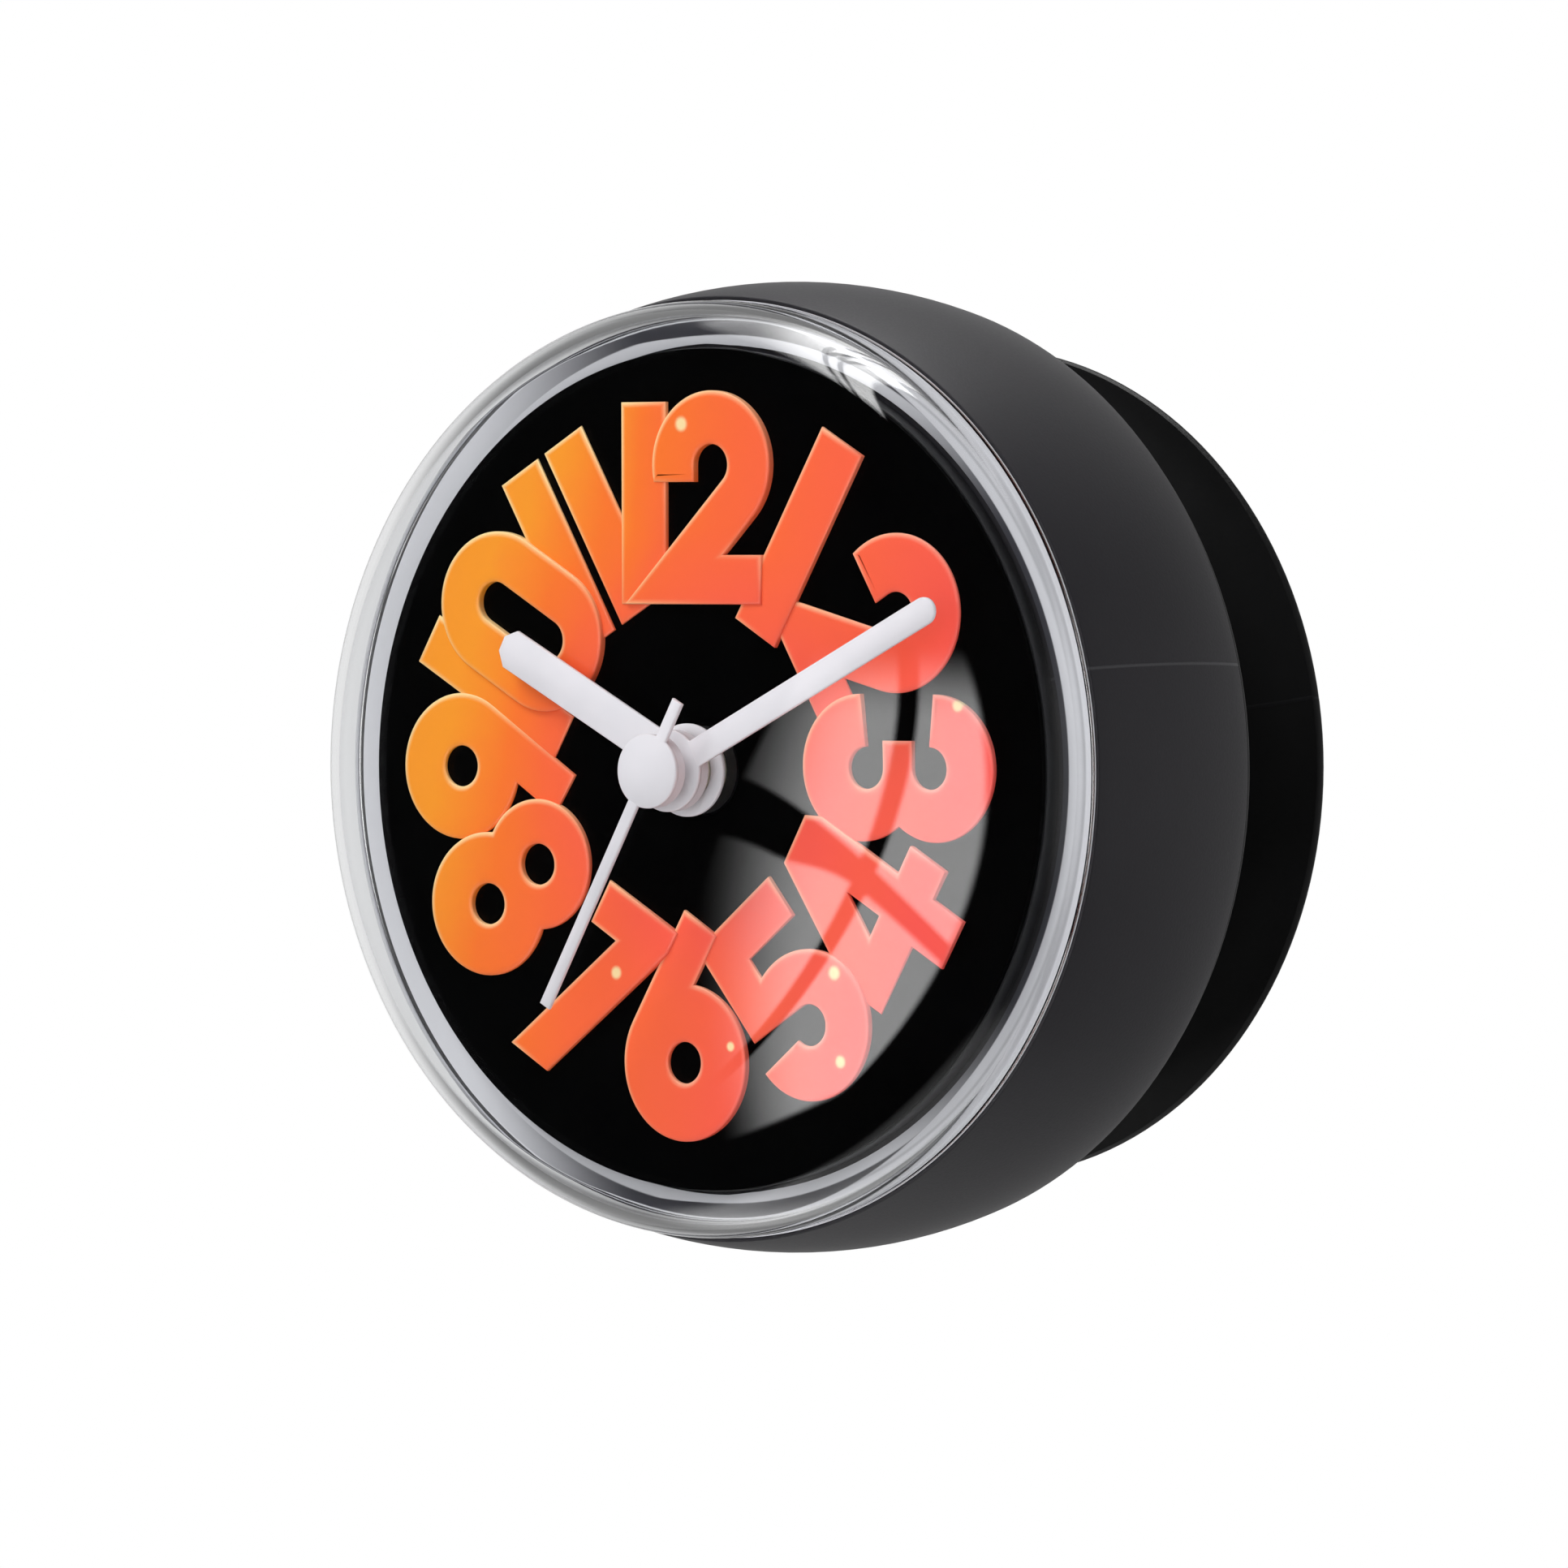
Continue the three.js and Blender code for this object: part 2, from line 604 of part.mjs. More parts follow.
// Movement front: plate with the centre bush, housing wall, flange, wheel stud and board posts.
function movementFront() {
  const wallBack = backPlateFront + SEAT_GAP;
  const body = revolve([
    [bushBore, plateBack],
    [movementBore, plateBack],
    [movementBore, wallBack],
    [movementRadius, wallBack],
    [movementRadius, plateBack],
    [flangeRadius, plateBack],
    [flangeRadius, plateFront],
    [bushRadius, plateFront],
    [bushRadius, dialFace],
    [bushBore, dialFace],
  ]);
  const stud = shiftedRod(motionAxis, MOTION_STUD_RADIUS, motionLayer, plateBack + JOIN_OVERLAP);
  const posts = boardPosts().map((place) => (
    shiftedRod(place, POST_RADIUS, boardFront + SEAT_GAP, plateBack + JOIN_OVERLAP)
  ));
  const pivots = [rotorAxis, stepAxis, thirdAxis, settingAxis].map(([x, z]) => (
    holeAt(x, z, PIVOT_RADIUS, plateBack - JOIN_OVERLAP, plateBack + PIVOT_DEPTH + SEAT_GAP)
  ));
  const screws = screwPlaces().map(([x, z]) => (
    holeAt(x, z, SCREW_RADIUS, plateBack - JOIN_OVERLAP, plateFront + JOIN_OVERLAP)
  ));
  return cut(join(body, stud, ...posts), ...pivots, ...screws);
}

function shiftedRod([x, z], radius, from, to) {
  return solidFrom(shifted(slab(disc(0, 0, radius), from, to, HOLE_STEPS), x, z));
}

function boardPosts() {
  const z = boardZ - BOARD_HEIGHT / 2 + POST_RADIUS;
  const reach = BOARD_WIDTH / 2 - POST_RADIUS;
  return [[boardX - reach, z], [boardX + reach, z]];
}

// Movement back plate with pivot holes, the setting shaft's hole and the cell's opening.
function movementBack() {
  const plate = rod(movementRadius, backPlateBack, backPlateFront, SIDES_INNER);
  const pivots = [rotorAxis, stepAxis, thirdAxis, [0, 0]].map(([x, z]) => (
    holeAt(x, z, PIVOT_RADIUS, backPlateFront - PIVOT_DEPTH - SEAT_GAP, backPlateFront + JOIN_OVERLAP)
  ));
  const through = [backPlateBack - JOIN_OVERLAP, backPlateFront + JOIN_OVERLAP];
  const shaft = holeAt(...settingAxis, SETTING_SHAFT_RADIUS, ...through);
  const cell = holeAt(cellX, cellZ, CELL_RADIUS, ...through, SIDES_SMALL);
  return cut(plate, ...pivots, shaft, cell);
}

// A toothed wheel with pointed teeth between two stations, one tooth at the phase angle.
function gear(teeth, module, phase, from, to) {
  const pitchRadius = (teeth * module) / 2;
  const points = [];
  for (let i = 0; i < 2 * teeth; i += 1) {
    const [x, z] = direction(phase + (180 * i) / teeth);
    const radius = pitchRadius + module * (i % 2 ? -TOOTH_ROOT : TOOTH_TIP);
    points.push([radius * x, radius * z]);
  }
  return solidFrom(slab(polygon(points), from, to));
}

// Module of a pair of gears from their centre distance.
function moduleOf(distance, teeth, mate) {
  return (2 * distance) / (teeth + mate);
}

// Phase of a gear in mesh with another that lies in the opposite direction.
function meshPhase(phase, teeth, heading, mate) {
  const step = 360 / teeth;
  const lead = (((heading - phase) % step) + step) % step;
  return heading + 180 + (lead * teeth) / mate + 180 / mate;
}

// An arbor with pivots that run in the two plates.
function arborBetweenPlates() {
  return rod(PIVOT_RADIUS, backPlateFront - PIVOT_DEPTH, plateBack + PIVOT_DEPTH, SIDES_TINY);
}

function rotor() {
  const module = moduleOf(rotorDistance, ROTOR_PINION_TEETH, STEP_WHEEL_TEETH);
  const phase = meshPhase(0, STEP_WHEEL_TEETH, ROTOR_DIRECTION, ROTOR_PINION_TEETH);
  const pinionFront = stepLayer + WHEEL_THICKNESS + SEAT_GAP;
  return join(
    gear(ROTOR_PINION_TEETH, module, phase, stepLayer - SEAT_GAP, pinionFront),
    rod(magnetRadius, magnetBack, magnetBack + MAGNET_LENGTH),
    arborBetweenPlates(),
  );
}

function stepWheel() {
  const wheelModule = moduleOf(rotorDistance, ROTOR_PINION_TEETH, STEP_WHEEL_TEETH);
  const pinionModule = moduleOf(stepDistance, STEP_PINION_TEETH, SECOND_WHEEL_TEETH);
  return join(
    gear(STEP_WHEEL_TEETH, wheelModule, 0, stepLayer, stepLayer + WHEEL_THICKNESS),
    gear(STEP_PINION_TEETH, pinionModule, 0, stepLayer, stepLayer + WHEEL_THICKNESS + PINION_LENGTH),
    arborBetweenPlates(),
  );
}

function secondWheel() {
  const wheelModule = moduleOf(stepDistance, STEP_PINION_TEETH, SECOND_WHEEL_TEETH);
  const pinionModule = moduleOf(thirdDistance, SECOND_PINION_TEETH, THIRD_WHEEL_TEETH);
  const phase = meshPhase(0, STEP_PINION_TEETH, STEP_DIRECTION + 180, SECOND_WHEEL_TEETH);
  const pinionFront = secondLayer + WHEEL_THICKNESS + PINION_LENGTH;
  const tip = dialFace + SECOND_HEIGHT + HAND_THICKNESS - HAND_SKIN;
  return join(
    gear(SECOND_WHEEL_TEETH, wheelModule, phase, secondLayer, secondLayer + WHEEL_THICKNESS),
    gear(SECOND_PINION_TEETH, pinionModule, 0, secondLayer, pinionFront),
    rod(PIVOT_RADIUS, backPlateFront - PIVOT_DEPTH, secondLayer + WHEEL_THICKNESS, SIDES_TINY),
    rod(SECOND_ARBOR_RADIUS, secondLayer, tip, SIDES_TINY),
  );
}

function thirdWheel() {
  const wheelModule = moduleOf(thirdDistance, SECOND_PINION_TEETH, THIRD_WHEEL_TEETH);
  const pinionModule = moduleOf(thirdDistance, THIRD_PINION_TEETH, CENTRE_WHEEL_TEETH);
  const phase = meshPhase(0, SECOND_PINION_TEETH, THIRD_DIRECTION, THIRD_WHEEL_TEETH);
  const pinionFront = thirdLayer + WHEEL_THICKNESS + PINION_LENGTH;
  return join(
    gear(THIRD_WHEEL_TEETH, wheelModule, phase, thirdLayer, thirdLayer + WHEEL_THICKNESS),
    gear(THIRD_PINION_TEETH, pinionModule, 0, thirdLayer, pinionFront),
    arborBetweenPlates(),
  );
}

// Centre wheel, driven by the third wheel and slipping on the minute arbor.
function centreWheel() {
  const module = moduleOf(thirdDistance, THIRD_PINION_TEETH, CENTRE_WHEEL_TEETH);
  const phase = meshPhase(0, THIRD_PINION_TEETH, THIRD_DIRECTION + 180, CENTRE_WHEEL_TEETH);
  const front = centreLayer + WHEEL_THICKNESS;
  const bore = rod(minuteTube + RUNNING_GAP, centreLayer - JOIN_OVERLAP, front + JOIN_OVERLAP);
  return cut(gear(CENTRE_WHEEL_TEETH, module, phase, centreLayer, front), bore);
}

// Minute arbor: tube round the second arbor, with the cannon pinion on it.
function minuteArbor() {
  const module = moduleOf(motionDistance, CANNON_TEETH, MINUTE_WHEEL_TEETH);
  const from = centreLayer - SEAT_GAP;
  const to = dialFace + MINUTE_HEIGHT + HAND_THICKNESS;
  const pinionFront = motionLayer + WHEEL_THICKNESS + SEAT_GAP;
  const body = join(
    rod(minuteTube, from, to),
    gear(CANNON_TEETH, module, 0, motionLayer - SEAT_GAP, pinionFront),
  );
  return cut(body, rod(minuteBore, from - JOIN_OVERLAP, to + JOIN_OVERLAP));
}

// Minute wheel of the motion works, running on the stud of the front plate.
function minuteWheel() {
  const wheelModule = moduleOf(motionDistance, CANNON_TEETH, MINUTE_WHEEL_TEETH);
  const pinionModule = moduleOf(motionDistance, MINUTE_PINION_TEETH, HOUR_WHEEL_TEETH);
  const front = hourLayer + WHEEL_THICKNESS;
  const body = join(
    gear(MINUTE_WHEEL_TEETH, wheelModule, minuteWheelPhase, motionLayer, motionLayer + WHEEL_THICKNESS),
    gear(MINUTE_PINION_TEETH, pinionModule, 0, motionLayer, front),
  );
  const bore = rod(MOTION_STUD_RADIUS + RUNNING_GAP, motionLayer - JOIN_OVERLAP, front + JOIN_OVERLAP);
  return cut(body, bore);
}

// Hour wheel with the tube that carries the hour hand.
function hourWheel() {
  const module = moduleOf(motionDistance, MINUTE_PINION_TEETH, HOUR_WHEEL_TEETH);
  const phase = meshPhase(0, MINUTE_PINION_TEETH, MOTION_DIRECTION + 180, HOUR_WHEEL_TEETH);
  const to = dialFace + HOUR_HEIGHT + HAND_THICKNESS;
  const body = join(
    gear(HOUR_WHEEL_TEETH, module, phase, hourLayer, hourLayer + WHEEL_THICKNESS),
    rod(hourTube, hourLayer, to),
  );
  return cut(body, rod(hourBore, hourLayer - JOIN_OVERLAP, to + JOIN_OVERLAP));
}

// Setting shaft: pinion at the minute wheel, shaft out through the back plate.
function settingShaft() {
  const module = moduleOf(motionDistance, SETTING_TEETH, MINUTE_WHEEL_TEETH);
  const phase = meshPhase(minuteWheelPhase, MINUTE_WHEEL_TEETH, MOTION_DIRECTION, SETTING_TEETH);
  const pinionFront = motionLayer + WHEEL_THICKNESS + SEAT_GAP;
  return join(
    rod(SETTING_SHAFT_RADIUS, knobBack + KNOB_FACE, pinionFront),
    gear(SETTING_TEETH, module, phase, motionLayer - SEAT_GAP, pinionFront),
    rod(PIVOT_RADIUS, motionLayer, plateBack + PIVOT_DEPTH, SIDES_TINY),
  );
}

// Ridged knob pressed on the end of the setting shaft.
function settingKnob() {
  const points = [];
  for (let i = 0; i < 2 * KNOB_RIDGES; i += 1) {
    const [x, z] = direction((180 * i) / KNOB_RIDGES);
    const radius = KNOB_RADIUS - (i % 2) * KNOB_RIDGE_DEPTH;
    points.push([radius * x, radius * z]);
  }
  const bore = rod(SETTING_SHAFT_RADIUS + PRESS_GAP, knobBack + KNOB_FACE - PRESS_GAP, backPlateBack);
  return cut(solidFrom(slab(polygon(points), knobBack, knobBack + KNOB_HEIGHT)), bore);
}

// Stator: plate round the rotor with two legs that reach the ends of the coil core.
function stator() {
  const [x, z] = rotorAxis;
  const ring = magnetRadius + STATOR_AIR_GAP + statorWeb;
  const legBottom = -coilDrop - CORE_HEIGHT / 2;
  const armTop = z - ring + statorWeb;
  const armBottom = armTop - statorWeb;
  const plates = [
    disc(x, z, ring),
    box(coilLeft, legBottom, coilLeft + CORE_FOOT, z),
    box(coilLeft, armBottom, coilRight, armTop),
    box(coilRight - CORE_FOOT, legBottom, coilRight, armTop),
  ].map((shape) => solidFrom(slab(shape, statorBack, statorFront)));
  const hole = disc(x, z, magnetRadius + STATOR_AIR_GAP);
  return cut(join(...plates), solidFrom(slab(hole, statorBack - JOIN_OVERLAP, statorFront + JOIN_OVERLAP)));
}

// Coil core: bar whose ends lie on the stator's legs, carried through the bobbin.
function coilCore() {
  const bottom = -coilDrop - CORE_HEIGHT / 2;
  return solidFrom(slab(box(coilLeft, bottom, coilRight, bottom + CORE_HEIGHT), coreBack, coreFront));
}

// A round drum along the coil, with a slot for the core.
function drum(radius, from, to) {
  const geometry = new THREE.CylinderGeometry(radius, radius, to - from, SIDES_SMALL);
  geometry.rotateZ(Math.PI / 2);
  geometry.translate((from + to) / 2, -coilStation, -coilDrop);
  return solidFrom(geometry);
}

function coilBobbin() {
  const [from, to] = [bobbinLeft, bobbinRight];
  const half = CORE_HEIGHT / 2 + SEAT_GAP;
  const slotShape = box(from - 1, -coilDrop - half, to + 1, -coilDrop + half);
  const slot = solidFrom(slab(slotShape, coreBack - SEAT_GAP, coreFront + SEAT_GAP));
  const body = join(
    drum(BOBBIN_FLANGE_RADIUS, from, from + BOBBIN_FLANGE_WIDTH),
    drum(bobbinBarrel, from, to),
    drum(BOBBIN_FLANGE_RADIUS, to - BOBBIN_FLANGE_WIDTH, to),
  );
  return cut(body, slot);
}

function coilWinding() {
  const from = bobbinLeft + BOBBIN_FLANGE_WIDTH + PRESS_GAP;
  const to = bobbinRight - BOBBIN_FLANGE_WIDTH - PRESS_GAP;
  const inside = drum(bobbinBarrel + PRESS_GAP, from - JOIN_OVERLAP, to + JOIN_OVERLAP);
  return cut(drum(WINDING_RADIUS, from, to), inside);
}

// Button cell with its stepped rim.
function buttonCell() {
  const front = cellBack + CELL_HEIGHT;
  return revolve([
    [0, cellBack],
    [CELL_RADIUS, cellBack],
    [CELL_RADIUS, front - CELL_STEP],
    [CELL_RADIUS - CELL_STEP, front - CELL_STEP],
    [CELL_RADIUS - CELL_STEP, front],
    [0, front],
  ]);
}

// Negative contact: strip from the front of the cell to behind the board, clear of the third arbor.
function negativeContact() {
  const left = boardX + BOARD_WIDTH / 2 - CONTACT_LAP;
  const bottom = thirdAxis[1] + PIVOT_RADIUS + 2 * SEAT_GAP;
  const shape = box(left, bottom, cellX + CONTACT_LAP, bottom + CONTACT_WIDTH);
  return solidFrom(slab(shape, contactBack, contactBack + CONTACT_THICKNESS));
}

// Positive contact: upright strip from the side of the cell to the edge of the board.
function positiveContact() {
  const bottom = cellZ + CELL_RADIUS + SEAT_GAP;
  const left = boardX + BOARD_WIDTH / 2 - CONTACT_LAP;
  const shape = box(left, bottom, cellX + CONTACT_LAP, bottom + CONTACT_THICKNESS);
  return solidFrom(slab(shape, boardFront - CONTACT_WIDTH, boardFront));
}

function circuitBoard() {
  const [left, bottom] = [boardX - BOARD_WIDTH / 2, boardZ - BOARD_HEIGHT / 2];
  return solidFrom(slab(box(left, bottom, left + BOARD_WIDTH, bottom + BOARD_HEIGHT), boardBack, boardFront));
}

// Crystal can lying on the board.
function quartzCrystal() {
  const geometry = new THREE.CylinderGeometry(CRYSTAL_RADIUS, CRYSTAL_RADIUS, CRYSTAL_LENGTH, SIDES_SMALL);
  geometry.rotateZ(Math.PI / 2);
  const z = boardZ + BOARD_HEIGHT / 2 - CRYSTAL_RADIUS - SEAT_GAP;
  geometry.translate(boardX, -(boardFront + PRESS_GAP + CRYSTAL_RADIUS), z);
  return solidFrom(geometry);
}

// Potted chip, a low dome on the board.
function chip() {
  const back = boardFront + PRESS_GAP;
  const dome = Array.from({ length: ARC_STEPS + 1 }, (_, i) => {
    const angle = (Math.PI / 2) * (1 - i / ARC_STEPS);
    return [CHIP_RADIUS * Math.sin(angle), back + CHIP_HEIGHT * Math.cos(angle)];
  });
  return revolve([[0, back], ...dome], SIDES_SMALL);
}

// Figures of the dial. A figure is drawn upright by a pen, which extrudes a flat shape at the
// numeral's place. Strokes widen by the grow value on every side, and eyes narrow by it.
function bar(left, bottom, right, top, grow) {
  return box(left - grow, bottom - grow, right + grow, top + grow);
}

// A slanting stroke with level ends.
function leaning([x0, y0], [x1, y1], width) {
  const half = width / 2;
  return polygon([[x0 - half, y0], [x0 + half, y0], [x1 + half, y1], [x1 - half, y1]]);
}

const one = ({ left, right, bottom, top }) => (pen, grow) => pen(bar(left, bottom, right, top, grow));

// Two: a bowl open at the lower left, whose diagonal leaves it as a tangent and ends in the foot.
const two = ({ x, y, radius, bottom, right }) => (pen, grow) => {
  const [outer, inner] = [radius + grow, FIGURE.eye - grow];
  const lean = Math.SQRT1_2;
  const base = bottom - grow;
  const left = base + x - y + inner / lean;
  const terminal = y - FIGURE.twoTerminal * FIGURE.eye - grow;
  const tangent = [x + inner * lean, y - inner * lean];
  const opening = polygon([
    [x - 2 * outer, terminal],
    [x - FIGURE.eye * Math.sqrt(1 - FIGURE.twoTerminal ** 2), terminal],
    [x, y],
    tangent,
    [tangent[0] - 2 * outer, tangent[1] - 2 * outer],
  ]);
  const diagonal = polygon([
    tangent,
    [left, base],
    [left + (outer - inner) / lean, base],
    [x + outer * lean, y - outer * lean],
  ]);
  return join(
    cut(pen(disc(x, y, outer)), pen(disc(x, y, inner)), pen(opening)),
    pen(diagonal),
    pen(box(left, base, right + grow, base + FIGURE.foot + 2 * grow)),
  );
};

// Three: two bowls, open at the left between their ends, with a short arm in the middle.
const three = ({ x, y, radius, armLeft }) => (pen, grow) => {
  const [outer, inner] = [radius + grow, FIGURE.eye - grow];
  const low = y - FIGURE.threePitch;
  const middle = y - FIGURE.threePitch / 2;
  const arm = FIGURE.threeArmHalf + grow;
  const far = x - 2 * outer;
  const openings = [
    disc(x, y, inner),
    disc(x, low, inner),
    box(far, low + grow, armLeft - grow, y - grow),
    box(far, middle + arm, x, y - grow),
    box(far, low + grow, x, middle - arm),
  ];
  return cut(join(pen(disc(x, y, outer)), pen(disc(x, low, outer))), ...openings.map(pen));
};

const four = ({ stemLeft, stemRight, bottom, top, left, right, barTop }) => (pen, grow) => {
  const slope = (stemLeft - left) / (top - barTop);
  const run = FIGURE.fourDiagonal / 2;
  return join(
    pen(bar(stemLeft, bottom, stemRight, top, grow)),
    pen(bar(left, barTop - FIGURE.foot, right, barTop, grow)),
    pen(leaning(
      [left + run - slope * grow, barTop - FIGURE.foot / 2],
      [stemLeft + run + slope * grow - FIGURE.fourLean, top + grow],
      FIGURE.fourDiagonal + 2 * grow,
    )),
  );
};

const five = ({ x, y, radius, top, right }) => (pen, grow) => {
  const outer = radius + grow;
  const left = x - FIGURE.fiveStemReach;
  const slot = box(x - 2 * outer, y - FIGURE.fiveSlotBelow + grow, x, y + FIGURE.fiveSlotAbove - grow);
  return join(
    cut(pen(disc(x, y, outer)), pen(disc(x, y, FIGURE.eye - grow)), pen(slot)),
    pen(bar(left, y + FIGURE.fiveSlotAbove, left + FIGURE.slant, top, grow)),
    pen(bar(left, top - FIGURE.slant, right, top, grow)),
  );
};

// Six: a bowl with a straight stem that leaves it as a tangent; a nine is a six upside down.
const six = ({ x, y, radius, slant, reach, upside = 1 }) => (pen, grow) => {
  const [leanX, leanY] = direction(slant);
  const offset = radius - FIGURE.slant / 2;
  const start = [x - upside * leanY * offset, y + upside * leanX * offset];
  const length = upside * (reach + grow);
  const end = [start[0] + leanX * length, start[1] + leanY * length];
  return cut(
    join(pen(disc(x, y, radius + grow)), pen(stroke(start, end, FIGURE.slant + 2 * grow))),
    pen(disc(x, y, FIGURE.eye - grow)),
  );
};

const seven = ({ left, right, bottom, top, foot }) => (pen, grow) => {
  const run = FIGURE.sevenStem / 2;
  return join(
    pen(bar(left, top - FIGURE.slant, right, top, grow)),
    pen(leaning([foot, bottom - grow], [right - run, top - FIGURE.slant / 2], FIGURE.sevenStem + 2 * grow)),
  );
};

const eight = ({ x, y, radius, lowX, lowY, lowRadius }) => (pen, grow) => cut(
  join(pen(disc(x, y, radius + grow)), pen(disc(lowX, lowY, lowRadius + grow))),
  pen(disc(x, y, FIGURE.eye - grow)),
  pen(disc(lowX, lowY, FIGURE.eye - grow)),
);

// An upright bar with round ends.
function roundBar(x, y, half, height) {
  const shape = new THREE.Shape();
  shape.absarc(x, y + height - half, half, 0, Math.PI, false);
  shape.absarc(x, y - height + half, half, Math.PI, 2 * Math.PI, false);
  return shape;
}

const zero = ({ x, y, half, height }) => (pen, grow) => cut(
  pen(roundBar(x, y, half + grow, height + grow)),
  pen(roundBar(x, y, FIGURE.eye - grow, height - FIGURE.foot - grow)),
);

// Numerals from the top layer down: each is trimmed where an earlier one lies over it.
// Figures are measured in figure units from the hour line at the numeral circle; those of the
// lower half stand with their feet outwards.
const NUMERALS = [
  {
    name: 'numeral_12_two', hour: 12, color: 0xff6e41,
    draw: two({ x: 1.25, y: 2.55, radius: 5.5, bottom: -7.75, right: 5.95 }),
  },
  {
    name: 'numeral_12_one', hour: 12, color: 0xff7438,
    draw: one({ left: -7.3, right: -3.1, bottom: -7.75, top: 7.25 }),
  },
  {
    name: 'numeral_1', hour: 1, color: 0xff683e,
    draw: one({ left: -2.75, right: 1.6, bottom: -8.6, top: 7.6 }),
  },
  {
    name: 'numeral_7', hour: 7, footOut: true, color: 0xff7a38,
    draw: seven({ left: -3.2, right: 4.4, bottom: -6.95, top: 8.5, foot: -3.2 }),
  },
  {
    name: 'numeral_6', hour: 6, footOut: true, color: 0xff6648,
    draw: six({ x: -1.35, y: -1.75, radius: 5.85, slant: 30.7, reach: 9.7 }),
  },
  {
    name: 'numeral_5', hour: 5, footOut: true, tilt: -9, color: 0xff5a50,
    draw: five({ x: -0.6, y: -1.2, radius: 5.6, top: 9.6, right: 3.3 }),
  },
  {
    name: 'numeral_4', hour: 4, footOut: true, color: 0xff5450,
    draw: four({
      stemLeft: -1.1, stemRight: 2.9, bottom: -6.5, top: 9.8, left: -6.9, right: 5.25, barTop: 0.3,
    }),
  },
  {
    name: 'numeral_3', hour: 3, color: 0xff5452,
    draw: three({ x: -0.35, y: 1.75, radius: 5.4, armLeft: -2.35 }),
  },
  {
    name: 'numeral_2', hour: 2, color: 0xff6440,
    draw: two({ x: -1.05, y: 1.5, radius: 5.85, bottom: -8.6, right: 3.7 }),
  },
  {
    name: 'numeral_8', hour: 8, footOut: true, color: 0xff8430,
    draw: eight({ x: -1.35, y: 3.1, radius: 4.9, lowX: -1.1, lowY: -2.6, lowRadius: 5.4 }),
  },
  {
    name: 'numeral_10_zero', hour: 10, color: 0xff9a2c,
    draw: zero({ x: 1.05, y: 0.05, half: 5.45, height: 8.05 }),
  },
  {
    name: 'numeral_9', hour: 9, color: 0xff8c2c,
    draw: six({ x: 0, y: 2.85, radius: 5.5, slant: 33, reach: 9.5, upside: -1 }),
  },
  {
    name: 'numeral_10_one', hour: 10, color: 0xff8a2e,
    draw: one({ left: -6.75, right: -2.7, bottom: -7.6, top: 7.4 }),
  },
  {
    name: 'numeral_11_first', hour: 11, color: 0xff8f30,
    draw: one({ left: -5.85, right: -1.85, bottom: -7, top: 7.75 }),
  },
  {
    name: 'numeral_11_second', hour: 11, color: 0xff8034,
    draw: one({ left: -1.1, right: 3, bottom: -7, top: 7.75 }),
  },
];

// Pen of a numeral: extrudes a shape on the dial at the numeral's place, turn and size.
function penFor({ hour, tilt = 0, footOut = false }) {
  const turn = THREE.MathUtils.degToRad(hour * 30 + (footOut ? 180 : 0));
  const place = new THREE.Matrix4().makeRotationY(turn);
  place.multiply(new THREE.Matrix4().makeScale(figureUnit, 1, figureUnit));
  place.multiply(new THREE.Matrix4().makeTranslation(0, 0, footOut ? -FIGURE.circle : FIGURE.circle));
  place.multiply(new THREE.Matrix4().makeRotationY(THREE.MathUtils.degToRad(tilt)));
  const from = dialFace + PRESS_GAP;
  return (shape) => solidFrom(slab(shape, from, from + NUMERAL_THICKNESS).applyMatrix4(place));
}

function addNumerals() {
  const above = [];
  for (const numeral of NUMERALS) {
    const pen = penFor(numeral);
    const { name, color, draw } = numeral;
    addPiece(name, cut(draw(pen, 0), ...above), { color, roughness: 0.35, metalness: 0 });
    above.push(draw(pen, FIGURE.gap));
  }
}

// A hand's straight blade: its end is round, or square with its corners cut where a cut is given.
function handBlade({ length, width, tail = 0, round = false, cornerCut = 0 }) {
  const shape = new THREE.Shape();
  const half = width / 2;
  shape.moveTo(-half, -tail);
  shape.lineTo(half, -tail);
  if (round) {
    shape.absarc(0, length - half, half, 0, Math.PI, false);
  } else if (cornerCut > 0) {
    shape.lineTo(half, length - cornerCut).lineTo(half - cornerCut, length);
    shape.lineTo(cornerCut - half, length).lineTo(-half, length - cornerCut);
  } else {
    shape.lineTo(half, length).lineTo(-half, length);
  }
  shape.closePath();
  return shape;
}

function hourHand() {
  const from = dialFace + HOUR_HEIGHT;
  const to = from + HAND_THICKNESS;
  const outline = handBlade({ length: HOUR_LENGTH, width: HOUR_WIDTH, cornerCut: HOUR_CORNER_CUT });
  const blade = solidFrom(slab(outline, from, to));
  const hub = rod(HOUR_HUB_RADIUS, from, to, SIDES_INNER);
  return cut(join(blade, hub), rod(hourTube + PRESS_GAP, from - JOIN_OVERLAP, to + JOIN_OVERLAP));
}

function minuteHand() {
  const from = dialFace + MINUTE_HEIGHT;
  const to = from + HAND_THICKNESS;
  const outline = handBlade({ length: MINUTE_LENGTH, width: MINUTE_WIDTH, round: true });
  const blade = solidFrom(slab(outline, from, to));
  const hub = rod(MINUTE_HUB_RADIUS, to - MINUTE_HUB_DEPTH, to, SIDES_INNER);
  const bore = rod(minuteTube + PRESS_GAP, to - MINUTE_HUB_DEPTH - JOIN_OVERLAP, to + JOIN_OVERLAP);
  return cut(join(blade, hub), bore);
}

